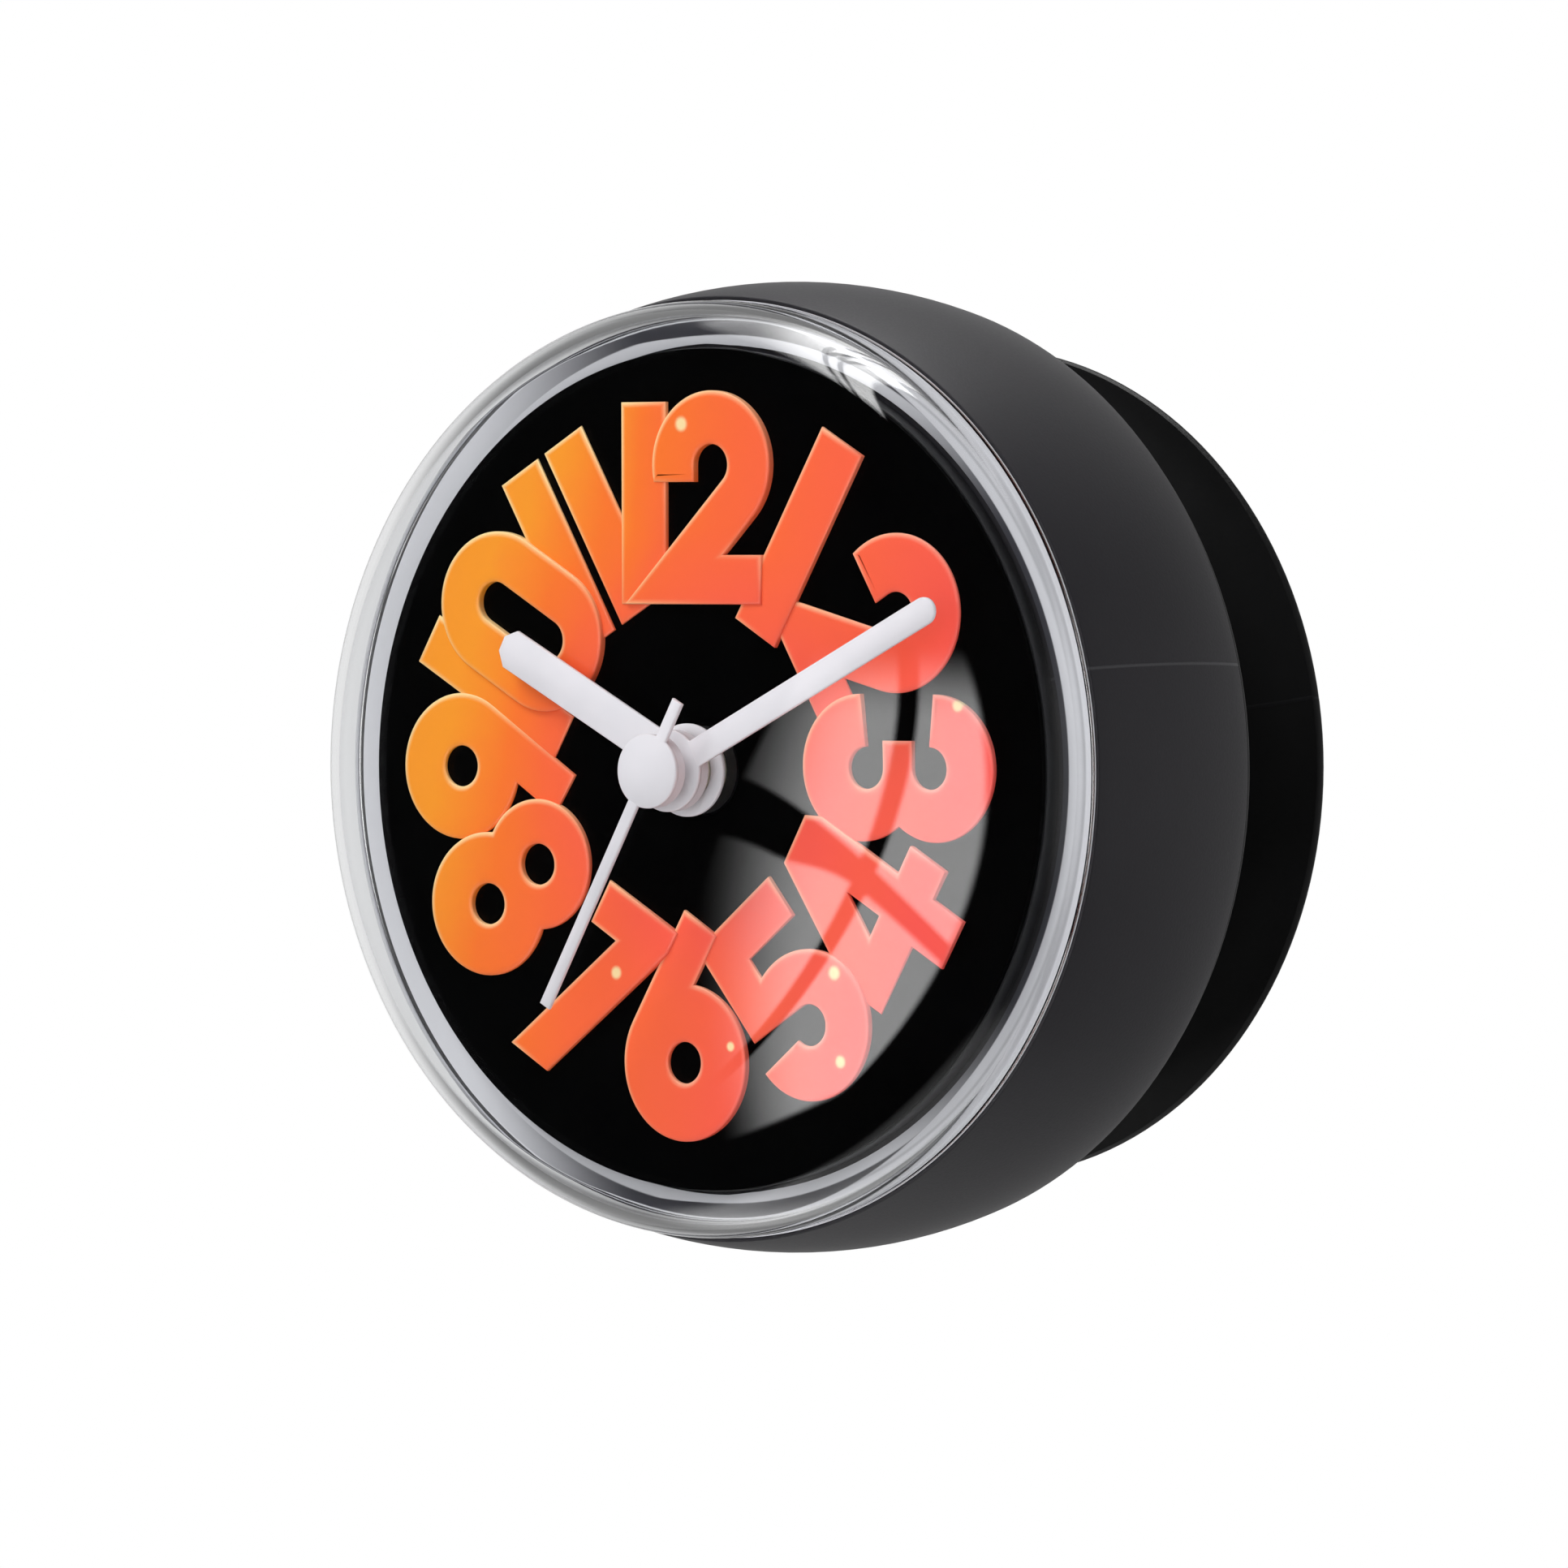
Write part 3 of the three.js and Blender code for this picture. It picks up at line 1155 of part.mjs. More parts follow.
// Second hand with a tail; its hub is closed in front.
function secondHand() {
  const from = dialFace + SECOND_HEIGHT;
  const to = from + HAND_THICKNESS;
  const outline = handBlade({ length: SECOND_LENGTH, width: SECOND_WIDTH, tail: SECOND_TAIL });
  const blade = solidFrom(slab(outline, from, to));
  const hub = rod(SECOND_HUB_RADIUS, to - SECOND_HUB_DEPTH, to, SIDES_INNER);
  const boreFront = to - HAND_SKIN + PRESS_GAP;
  const boreBack = to - SECOND_HUB_DEPTH - JOIN_OVERLAP;
  const bore = rod(SECOND_ARBOR_RADIUS + PRESS_GAP, boreBack, boreFront, SIDES_TINY);
  return cut(join(blade, hub), bore);
}

addPiece('suction_cup', suctionCup(), rubber);
addPiece('rear_cover', rearCover(), blackPlastic);
addPiece('cover_seal', coverSeal(), rubber);
addPiece('case_shell', caseShell(), softPlastic);
addPiece('lens', lens(), clearPlastic);
addPiece('lens_gasket', lensGasket(), palePlastic);
addPiece('dial_carrier', dialCarrier(), blackPlastic);
addPiece('dial', tube(dialRadius, dialHole, dialBack, dialFace, SIDES_SHELL), dialBlack);
addNumerals();
addPiece('hour_hand', hourHand(), handWhite, { turn: HOUR_ANGLE });
addPiece('minute_hand', minuteHand(), handWhite, { turn: MINUTE_ANGLE });
addPiece('second_hand', secondHand(), handWhite, { turn: SECOND_ANGLE });
addPiece('movement_front', movementFront(), blackPlastic);
addPiece('movement_back', movementBack(), blackPlastic);
screwPlaces().forEach(([x, z], i) => addPiece(`movement_screw_${i + 1}`, movementScrew(), steel, { x, z }));
addPiece('rotor', rotor(), steel, { x: rotorAxis[0], z: rotorAxis[1] });
addPiece('step_wheel', stepWheel(), wheelPlastic, { x: stepAxis[0], z: stepAxis[1] });
addPiece('second_wheel', secondWheel(), wheelPlastic);
addPiece('third_wheel', thirdWheel(), wheelPlastic, { x: thirdAxis[0], z: thirdAxis[1] });
addPiece('centre_wheel', centreWheel(), brass);
addPiece('minute_arbor', minuteArbor(), brass);
addPiece('minute_wheel', minuteWheel(), wheelPlastic, { x: motionAxis[0], z: motionAxis[1] });
addPiece('hour_wheel', hourWheel(), wheelPlastic);
addPiece('setting_shaft', settingShaft(), wheelPlastic, { x: settingAxis[0], z: settingAxis[1] });
addPiece('setting_knob', settingKnob(), blackPlastic, { x: settingAxis[0], z: settingAxis[1] });
addPiece('stator', stator(), steel);
addPiece('coil_core', coilCore(), steel);
addPiece('coil_bobbin', coilBobbin(), wheelPlastic);
addPiece('coil_winding', coilWinding(), copper);
addPiece('circuit_board', circuitBoard(), boardGreen);
addPiece('quartz_crystal', quartzCrystal(), steel);
addPiece('chip', chip(), blackPlastic, { x: boardX, z: boardZ - CHIP_DROP });
addPiece('button_cell', buttonCell(), steel, { x: cellX, z: cellZ });
addPiece('negative_contact', negativeContact(), brass);
addPiece('positive_contact', positiveContact(), brass);

export default clock;
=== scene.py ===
"""Looks of a suction-cup bathroom clock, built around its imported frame.

The clock axis is Y: the wall is the plane y = 0 and the dial faces -Y. A station is a distance in
front of the wall, so a point at station s has y = -s. Sizes are written in millimetres.
"""
import json
import logging
import math
from dataclasses import dataclass
from enum import Enum
from typing import Callable, ClassVar, Dict, List, Sequence, Tuple, Union

import bpy
import numpy as np
from mathutils.geometry import tessellate_polygon
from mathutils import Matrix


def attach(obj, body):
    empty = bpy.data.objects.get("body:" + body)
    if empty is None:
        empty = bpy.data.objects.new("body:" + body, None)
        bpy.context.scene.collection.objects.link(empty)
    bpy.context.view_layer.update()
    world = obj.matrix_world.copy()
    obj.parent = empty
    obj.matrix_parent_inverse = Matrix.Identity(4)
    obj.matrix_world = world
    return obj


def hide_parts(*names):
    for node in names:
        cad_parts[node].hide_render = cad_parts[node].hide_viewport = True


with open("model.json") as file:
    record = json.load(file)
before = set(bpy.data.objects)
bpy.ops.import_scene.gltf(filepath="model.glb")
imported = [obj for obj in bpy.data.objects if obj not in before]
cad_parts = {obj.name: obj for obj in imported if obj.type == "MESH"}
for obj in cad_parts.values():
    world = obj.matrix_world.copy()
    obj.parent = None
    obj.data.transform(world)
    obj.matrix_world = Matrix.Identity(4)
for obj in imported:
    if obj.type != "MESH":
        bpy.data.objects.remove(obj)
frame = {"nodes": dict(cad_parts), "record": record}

MM = 0.001
TURN = 2.0 * math.pi
# Shorter lengths count as none, in millimetres
TINY = 1e-6
# Largest part of a side that a fillet takes
FILLET_SHARE = 0.45
# Least part of a mitre's length that an inset divides by, so that sharp corners stay near
LEAST_MITRE = 0.3
# Edges of a plate stay sharp past this angle, in degrees
PLATE_CREASE = 50.0
# Columns of a large turned ring
RING_SIDES = 192
# Directions are divided by no less than this
LEAST_SLOPE = 0.05
PHOTO_PIXELS = 1932.0
LOG = logging.getLogger("clock")

Points = np.ndarray
Colour = Tuple[float, float, float]


class Body(Enum):
    """The moving bodies that pieces ride on."""

    CUP = "cup"
    COVER = "cover"
    CASE = "case"
    SECONDS = "seconds"
    MINUTES = "minutes"
    HOURS = "hours"


class Facing(Enum):
    """Which way a numeral stands on the dial."""

    FOOT_IN = 0.0
    FOOT_OUT = 180.0


class HandEnd(Enum):
    """Shape of a hand's end."""

    ROUND = "round"
    CUT = "square with its corners cut"
    SQUARE = "square"


# Shader expressions


class Field:
    """A number, vector or colour that changes over a surface, wrapped round a node's socket."""

    def __init__(self, shader: "Shader", socket: bpy.types.NodeSocket) -> None:
        """Keeps the socket and the shader that it belongs to."""
        self.shader = shader
        self.socket = socket

    def math(self, operation: str, *others: Union["Field", float]) -> "Field":
        """Adds a Math node with this field first.

        Args:
            operation: name of the Math operation.
            others: the other operands, in order.
        Returns:
            The node's value.
        """
        inputs = dict(enumerate((self, *others)))
        return self.shader.node("ShaderNodeMath", {"operation": operation}, inputs)

    def __add__(self, other: Union["Field", float]) -> "Field":
        """Sum."""
        return self.math("ADD", other)

    __radd__ = __add__

    def __sub__(self, other: Union["Field", float]) -> "Field":
        """Difference."""
        return self.math("SUBTRACT", other)

    def __rsub__(self, other: float) -> "Field":
        """Difference from a number."""
        return self.math("MULTIPLY_ADD", -1.0, other)

    def __mul__(self, other: Union["Field", float]) -> "Field":
        """Product."""
        return self.math("MULTIPLY", other)

    __rmul__ = __mul__

    def __truediv__(self, other: Union["Field", float]) -> "Field":
        """Quotient."""
        return self.math("DIVIDE", other)

    def __pow__(self, other: float) -> "Field":
        """Power."""
        return self.math("POWER", other)

    def size(self) -> "Field":
        """Absolute value."""
        return self.math("ABSOLUTE")

    def ramp(self, low: float, high: float) -> "Field":
        """Smooth step from 0 at low to 1 at high.

        Args:
            low: value that gives 0.
            high: value that gives 1.
        Returns:
            The eased and clamped share.
        """
        settings = {"interpolation_type": "SMOOTHSTEP", "clamp": True}
        return self.shader.node("ShaderNodeMapRange", settings, {0: self, 1: low, 2: high, 3: 0.0, 4: 1.0})


class Shader:
    """A material's or the world's node tree, filled by expressions."""

    NOISE_ROUGHNESS: ClassVar[float] = 0.55

    def __init__(self, tree: bpy.types.NodeTree) -> None:
        """Starts from an empty tree."""
        self.tree = tree
        tree.nodes.clear()

    def make(self, kind: str, settings: Dict[str, object], inputs: Dict) -> bpy.types.Node:
        """Adds a node.

        Args:
            kind: the node's type.
            settings: properties that are set first; "stops" holds a ramp's (place, colour) pairs.
            inputs: values or fields for its sockets, by name or number.
        Returns:
            The node.
        """
        node = self.tree.nodes.new(kind)
        for name, value in settings.items():
            if name == "stops":
                self.fill_ramp(node.color_ramp, value)
            else:
                setattr(node, name, value)
        for key, value in inputs.items():
            if isinstance(value, Field):
                self.tree.links.new(value.socket, node.inputs[key])
            else:
                node.inputs[key].default_value = value
        return node

    @staticmethod
    def fill_ramp(ramp: bpy.types.ColorRamp, stops: Sequence[Tuple[float, Colour]]) -> None:
        """Sets a colour ramp's stops in order."""
        for i, (place, colour) in enumerate(stops):
            stop = ramp.elements[i] if i < len(ramp.elements) else ramp.elements.new(place)
            stop.position = place
            stop.color = (*colour, 1.0)

    def node(self, kind: str, settings: Dict[str, object], inputs: Dict, out: Union[str, int] = 0) -> Field:
        """Adds a node and wraps one of its outputs.

        Args:
            kind: the node's type.
            settings: properties that are set first.
            inputs: values or fields for its sockets.
            out: name or number of the output.
        Returns:
            The output as a field.
        """
        return Field(self, self.make(kind, settings, inputs).outputs[out])

    def place(self) -> Field:
        """Object coordinates, which are the row frame's metres."""
        return self.node("ShaderNodeTexCoord", {}, {}, "Object")

    def axes(self) -> Tuple[Field, Field, Field]:
        """The three object coordinates, in metres."""
        parts = self.make("ShaderNodeSeparateXYZ", {}, {0: self.place()})
        return tuple(Field(self, socket) for socket in parts.outputs)

    def noise(self, grain_mm: float, detail: float = 3.0) -> Field:
        """Cloudy noise whose features are about grain_mm across, from 0 to 1."""
        inputs = {"Vector": self.place(), "Scale": 1.0 / (grain_mm * MM), "Detail": detail}
        return self.node("ShaderNodeTexNoise", {}, {**inputs, "Roughness": self.NOISE_ROUGHNESS}, "Fac")

    def blend(self, share: Union[Field, float], first: object, second: object) -> Field:
        """Mixes two colours.

        Args:
            share: 0 for the first, 1 for the second.
            first: colour or colour field.
            second: colour or colour field.
        Returns:
            The mixed colour.
        """
        whole = [(*c, 1.0) if isinstance(c, tuple) else c for c in (first, second)]
        inputs = {"Factor": share, 6: whole[0], 7: whole[1]}
        return self.node("ShaderNodeMix", {"data_type": "RGBA"}, inputs, 2)

    def attribute(self, name: str) -> Field:
        """A number that is kept on the vertices of a piece."""
        return self.node("ShaderNodeAttribute", {"attribute_name": name}, {}, "Fac")

    def ramped(self, share: Field, stops: Sequence[Tuple[float, Colour]]) -> Field:
        """A colour picked from a ramp of stops."""
        return self.node("ShaderNodeValToRGB", {"stops": stops}, {"Fac": share}, "Color")

    def bump(self, height: Field, depth_mm: float) -> Field:
        """A normal from a height field that is depth_mm deep."""
        inputs = {"Height": height, "Distance": depth_mm * MM, "Strength": 1.0}
        return self.node("ShaderNodeBump", {}, inputs, "Normal")

    def surface(self, inputs: Dict) -> Field:
        """A Principled shader with the given sockets."""
        return self.node("ShaderNodeBsdfPrincipled", {}, inputs)

    def output(self, shader: Field, kind: str = "ShaderNodeOutputMaterial") -> None:
        """Ends the tree with its output."""
        self.make(kind, {}, {"Surface": shader})


def new_material(name: str) -> Tuple[bpy.types.Material, Shader]:
    """An empty node material and its shader."""
    material = bpy.data.materials.new(name)
    material.use_nodes = True
    return material, Shader(material.node_tree)


# Finishes


@dataclass(frozen=True)
class MouldedFinish:
    """Moulded plastic or rubber: faint clouding, fine grain, and worn gloss in patches."""

    CLOUD_SPAN: ClassVar[Tuple[float, float]] = (0.3, 0.7)
    GRAIN_DETAIL: ClassVar[float] = 2.0

    name: str
    colour: Colour
    shade: Colour
    roughness: float = 0.5
    grain_mm: float = 0.35
    grain_depth_mm: float = 0.01
    cloud_mm: float = 9.0
    specular: float = 0.5
    sheen: float = 0.0
    clouding: float = 0.12
    graining: float = 0.1

    def build(self) -> bpy.types.Material:
        """Makes the material."""
        material, shader = new_material(self.name)
        cloud = shader.noise(self.cloud_mm)
        grain = shader.noise(self.grain_mm, self.GRAIN_DETAIL)
        shader.output(shader.surface({
            "Base Color": shader.blend(cloud.ramp(*self.CLOUD_SPAN), self.colour, self.shade),
            "Roughness": self.worn(cloud, grain),
            "Normal": shader.bump(grain, self.grain_depth_mm),
            "Specular IOR Level": self.specular,
            "Sheen Weight": self.sheen,
        }))
        return material

    def worn(self, cloud: Field, grain: Field) -> Field:
        """Roughness that changes a little with the clouding and the grain."""
        return self.roughness + self.clouding * (cloud - 0.5) + self.graining * (grain - 0.5)


@dataclass(frozen=True)
class SeamedFinish(MouldedFinish):
    """Moulded finish with the faint line that the mould's two halves leave on a round piece.

    A piece with a front lip has painted light on that lip, paler on its left.
    """

    clouding: float = 0.1
    seam_angle: float = 12.7
    seam_mm: float = 0.16
    seam_core: float = 0.3
    seam_share: float = 0.6
    seam_gloss: float = 0.12
    seam_height: float = 2.0
    seam_colour: Colour = (0.05, 0.05, 0.054)
    # a front lip past station lip_mm gets painted light on its left, in the colour below
    lip_mm: float = 100.0
    lip_span_mm: Tuple[float, float] = (-0.06, 0.02)
    lip_painted_light_turn: Tuple[float, float] = (-0.85, -0.5)
    lip_painted_light_colour: Colour = (0.55, 0.55, 0.57)

    def build(self) -> bpy.types.Material:
        """Makes the material: a seam at an angle about the axis, and painted light on a lip past a station.
        """
        material, shader = new_material(self.name)
        cloud = shader.noise(self.cloud_mm)
        grain = shader.noise(self.grain_mm, self.GRAIN_DETAIL)
        x, y, z = shader.axes()
        lip = (-1.0 * y).ramp(*((self.lip_mm + span) * MM for span in self.lip_span_mm))
        # painted light: the lip is paler on its left, fading out by x / radius
        lip = lip * (1.0 - (x / (x * x + z * z) ** 0.5).ramp(*self.lip_painted_light_turn))
        lean = math.radians(self.seam_angle)
        away = (z * math.cos(lean) - x * math.sin(lean)).size()
        seam = 1.0 - away.ramp(self.seam_core * self.seam_mm * MM, self.seam_mm * MM)
        body = shader.blend(cloud.ramp(*self.CLOUD_SPAN), self.colour, self.shade)
        body = shader.blend(self.seam_share * seam, body, self.seam_colour)
        shader.output(shader.surface({
            "Base Color": shader.blend(lip, body, self.lip_painted_light_colour),
            "Roughness": self.worn(cloud, grain) - self.seam_gloss * seam,
            "Normal": shader.bump(grain + self.seam_height * seam, self.grain_depth_mm),
            "Specular IOR Level": self.specular,
            "Sheen Weight": self.sheen,
        }))
        return material


@dataclass(frozen=True)
class GasketFinish:
    """Pale moulding with a dark web between its inner lip and its foot.

    Over that it has painted light and shade: the web is painted pale on its left, and the pale foot is
    painted wider towards its right, where the lip is painted dark and a fine line of painted shade shows in
    the foot. This is colour alone.
    """

    name: str
    lip_mm: float = 32.0
    # turn span past which the lip is painted dark: painted shade
    lip_painted_shade_turn: Tuple[float, float] = (0.45, 0.85)
    foot_mm: float = 33.3
    # how far and over which turn span the pale foot is painted wider towards the right: painted light
    foot_painted_light_mm: float = 1.6
    foot_painted_light_turn: Tuple[float, float] = (0.1, 0.75)
    # a darker line of painted shade in the foot
    line_mm: float = 32.6
    line_half_mm: float = 0.24
    line_shade: float = 0.3
    # turn span over which the web is painted pale on its left: painted light
    web_painted_light_turn: Tuple[float, float] = (-0.75, -0.2)
    soft_mm: float = 0.08
    pale: Colour = (0.68, 0.68, 0.71)
    web: Colour = (0.045, 0.045, 0.055)
    roughness: float = 0.42
    clouding: float = 0.1
    cloud_mm: float = 4.0
    grain_mm: float = 0.3
    grain_depth_mm: float = 0.004

    def build(self) -> bpy.types.Material:
        """Makes the material: the radius tells lip, web and foot apart, and turn = x / radius the sides."""
        material, shader = new_material(self.name)
        x, _, z = shader.axes()
        radius = (x * x + z * z) ** 0.5
        turn = x / radius
        soft = self.soft_mm * MM
        lip = 1.0 - (radius - self.lip_mm * MM).ramp(-soft, soft)
        # painted light: the pale foot reaches further in towards the right
        inner = self.foot_mm * MM - self.foot_painted_light_mm * MM * turn.ramp(*self.foot_painted_light_turn)
        # painted shade: a darker line in the foot
        line = 1.0 - (radius - self.line_mm * MM).size().ramp(0.0, self.line_half_mm * MM)
        foot = (radius - inner).ramp(-soft, soft) * (1.0 - self.line_shade * line)
        # painted light: the web is pale on its left
        left = 1.0 - turn.ramp(*self.web_painted_light_turn)
        # painted shade: the lip goes dark towards the right
        share = (lip * (1.0 - turn.ramp(*self.lip_painted_shade_turn))).math("MAXIMUM", foot).math("MAXIMUM", left)
        grain = shader.noise(self.grain_mm, MouldedFinish.GRAIN_DETAIL)
        shader.output(shader.surface({
            "Base Color": shader.blend(share, self.web, self.pale),
            "Roughness": self.roughness + self.clouding * (shader.noise(self.cloud_mm) - 0.5),
            "Normal": shader.bump(grain, self.grain_depth_mm),
        }))
        return material


@dataclass(frozen=True)
class ClearFinish:
    """Clear moulded plastic that bends light, and lets lamps through to what is behind it."""

    name: str
    ior: float = 1.49
    roughness: float = 0.0
    tint: Colour = (0.985, 0.99, 0.995)

    def build(self) -> bpy.types.Material:
        """Makes the material."""
        material, shader = new_material(self.name)
        glass = shader.surface({
            "Base Color": (*self.tint, 1.0),
            "Roughness": self.roughness,
            "IOR": self.ior,
            "Transmission Weight": 1.0,
        })
        path = shader.make("ShaderNodeLightPath", {}, {})
        shadow = Field(shader, path.outputs["Is Shadow Ray"])
        diffuse = Field(shader, path.outputs["Is Diffuse Ray"])
        clear = shader.node("ShaderNodeBsdfTransparent", {}, {"Color": (*self.tint, 1.0)})
        through = shadow.math("MAXIMUM", diffuse)
        shader.output(shader.node("ShaderNodeMixShader", {}, {0: through, 1: glass, 2: clear}))
        return material


@dataclass(frozen=True)
class NumeralFinish:
    """Glossy print from orange on the left to coral on the right, redder towards the dial's middle.

    Each figure has a drift of its own from its left to its right, a painted highlight along its edge that is
    palest where it faces the upper left, and some carry a small painted highlight, a glint, at (x, z) with a
    size.
    """

    EDGE_HIGHLIGHT: ClassVar[str] = "edge"
    ACROSS: ClassVar[str] = "across"

    name: str
    reach_mm: float = 28.0
    drift: float = 0.45
    own: float = 0.2
    roughness: float = 0.32
    redden: float = 0.25
    red_from_mm: float = 19.0
    red_to_mm: float = 10.0
    stops: Tuple[Tuple[float, Colour], ...] = (
        (0.0, (1.0, 0.33, 0.020)),
        (0.2, (1.0, 0.185, 0.022)),
        (0.42, (1.0, 0.142, 0.039)),
        (0.7, (1.0, 0.122, 0.056)),
        (1.0, (1.0, 0.095, 0.075)),
    )
    # colours of the painted edge highlight, from left to right
    highlight_stops: Tuple[Tuple[float, Colour], ...] = (
        (0.0, (1.0, 0.84, 0.42)),
        (0.45, (1.0, 0.56, 0.30)),
        (1.0, (1.0, 0.36, 0.30)),
    )
    # strength and span of the painted edge highlight
    highlight_strength: float = 0.85
    highlight_span: Tuple[float, float] = (0.05, 0.95)
    # painted highlights: the glint colour, and glint spots at (x, z) with a size, in millimetres
    glint: Colour = (1.0, 0.75, 0.38)
    glint_span: Tuple[float, float] = (0.1, 0.8)
    glints: Tuple[Tuple[float, float, float], ...] = (
        (-1.4, 25.2, 0.9), (23.7, 4.9, 0.8), (12.6, -14.5, 0.9), (13.1, -20.9, 0.8), (3.1, -20.1, 0.6),
        (-7.6, -15.0, 0.8),
    )
    mottle_mm: float = 4.0
    mottling: float = 0.08
    gloss_mottling: float = 0.1
    grain_mm: float = 0.5
    grain_depth_mm: float = 0.003
    coat: float = 0.25
    coat_roughness: float = 0.12

    def build(self) -> bpy.types.Material:
        """Makes the material: the share along X picks the colour, and the edge attribute adds a painted
        highlight.
        """
        material, shader = new_material(self.name)
        x, _, z = shader.axes()
        mottle = shader.noise(self.mottle_mm) - 0.5
        radius = (x * x + z * z) ** 0.5
        red = 1.0 - radius.ramp(self.red_to_mm * MM, self.red_from_mm * MM)
        own = self.own * (shader.attribute(self.ACROSS) - 0.5) + self.mottling * mottle
        share = (x - self.drift * z) / (2.0 * self.reach_mm * MM) + 0.5 + own
        colour = shader.ramped(share + self.redden * red, self.stops)
        # painted highlight along the edges that face the light
        edge = self.highlight_strength * shader.attribute(self.EDGE_HIGHLIGHT).ramp(*self.highlight_span)
        colour = shader.blend(edge, colour, shader.ramped(share, self.highlight_stops))
        # painted highlights: pale glint spots
        glint_spots = sum(1.0 - self.distance(x, z, u, v).ramp(0.0, size * MM) for u, v, size in self.glints)
        grain = shader.noise(self.grain_mm, MouldedFinish.GRAIN_DETAIL)
        shader.output(shader.surface({
            "Base Color": shader.blend(glint_spots.ramp(*self.glint_span), colour, self.glint),
            "Roughness": self.roughness + self.gloss_mottling * mottle,
            "Normal": shader.bump(grain, self.grain_depth_mm),
            "Coat Weight": self.coat,
            "Coat Roughness": self.coat_roughness,
        }))
        return material

    @staticmethod
    def distance(x: Field, z: Field, u: float, v: float) -> Field:
        """Distance in metres on the dial from a point that is given in millimetres."""
        return ((x - u * MM) ** 2.0 + (z - v * MM) ** 2.0) ** 0.5


@dataclass(frozen=True)
class MetalFinish:
    """Plain, turned or brushed metal with fine marks and a slight change of tone."""

    name: str
    colour: Colour
    shade: Colour
    roughness: float = 0.3
    marks_mm: float = 0.25
    marks_detail: float = 4.0
    marks_depth_mm: float = 0.004
    marking: float = 0.18
    cloud_mm: float = 3.0

    def build(self) -> bpy.types.Material:
        """Makes the material."""
        material, shader = new_material(self.name)
        marks = shader.noise(self.marks_mm, self.marks_detail)
        cloud = shader.noise(self.cloud_mm)
        shader.output(shader.surface({
            "Base Color": shader.blend(cloud.ramp(*MouldedFinish.CLOUD_SPAN), self.colour, self.shade),
            "Metallic": 1.0,
            "Roughness": self.roughness + self.marking * (marks - 0.5),
            "Normal": shader.bump(marks, self.marks_depth_mm),
        }))
        return material


@dataclass(frozen=True)
class WindingFinish:
    """Enamelled wire wound side by side along X."""

    name: str
    wire_mm: float = 0.12
    colour: Colour = (0.42, 0.14, 0.04)
    shade: Colour = (0.2, 0.05, 0.015)
    metallic: float = 0.8
    roughness: float = 0.42
    crest_gloss: float = 0.12

    def build(self) -> bpy.types.Material:
        """Makes the material: the turns are |sin| ridges along X."""
        material, shader = new_material(self.name)
        x, _, _ = shader.axes()
        ridge = (x * (math.pi / (self.wire_mm * MM))).math("SINE").size()
        shader.output(shader.surface({
            # painted shade: the shade colour darkens the wire between its turns
            "Base Color": shader.blend(ridge, self.shade, self.colour),
            "Metallic": self.metallic,
            "Roughness": self.roughness - self.crest_gloss * ridge,
            "Normal": shader.bump(ridge, 0.5 * self.wire_mm),
        }))
        return material


@dataclass(frozen=True)
class BoardFinish:
    """Green solder mask with the paths of the copper under it."""

    name: str
    mask: Colour = (0.02, 0.11, 0.045)
    path: Colour = (0.045, 0.2, 0.08)
    cell_mm: float = 1.3
    scatter: float = 0.35
    path_edge: Tuple[float, float] = (0.08, 0.12)
    path_depth_mm: float = 0.03
    roughness: float = 0.35
    path_roughness: float = 0.1

    def build(self) -> bpy.types.Material:
        """Makes the material: the paths are the edges of loosely set cells."""
        material, shader = new_material(self.name)
        settings = {"feature": "DISTANCE_TO_EDGE", "distance": "EUCLIDEAN"}
        scale = 1.0 / (self.cell_mm * MM)
        inputs = {"Vector": shader.place(), "Scale": scale, "Randomness": self.scatter}
        edge = shader.node("ShaderNodeTexVoronoi", settings, inputs, "Distance")
        copper = 1.0 - edge.ramp(*self.path_edge)
        shader.output(shader.surface({
            "Base Color": shader.blend(copper, self.mask, self.path),
            "Roughness": self.roughness + self.path_roughness * copper,
            "Normal": shader.bump(copper, self.path_depth_mm),
        }))
        return material


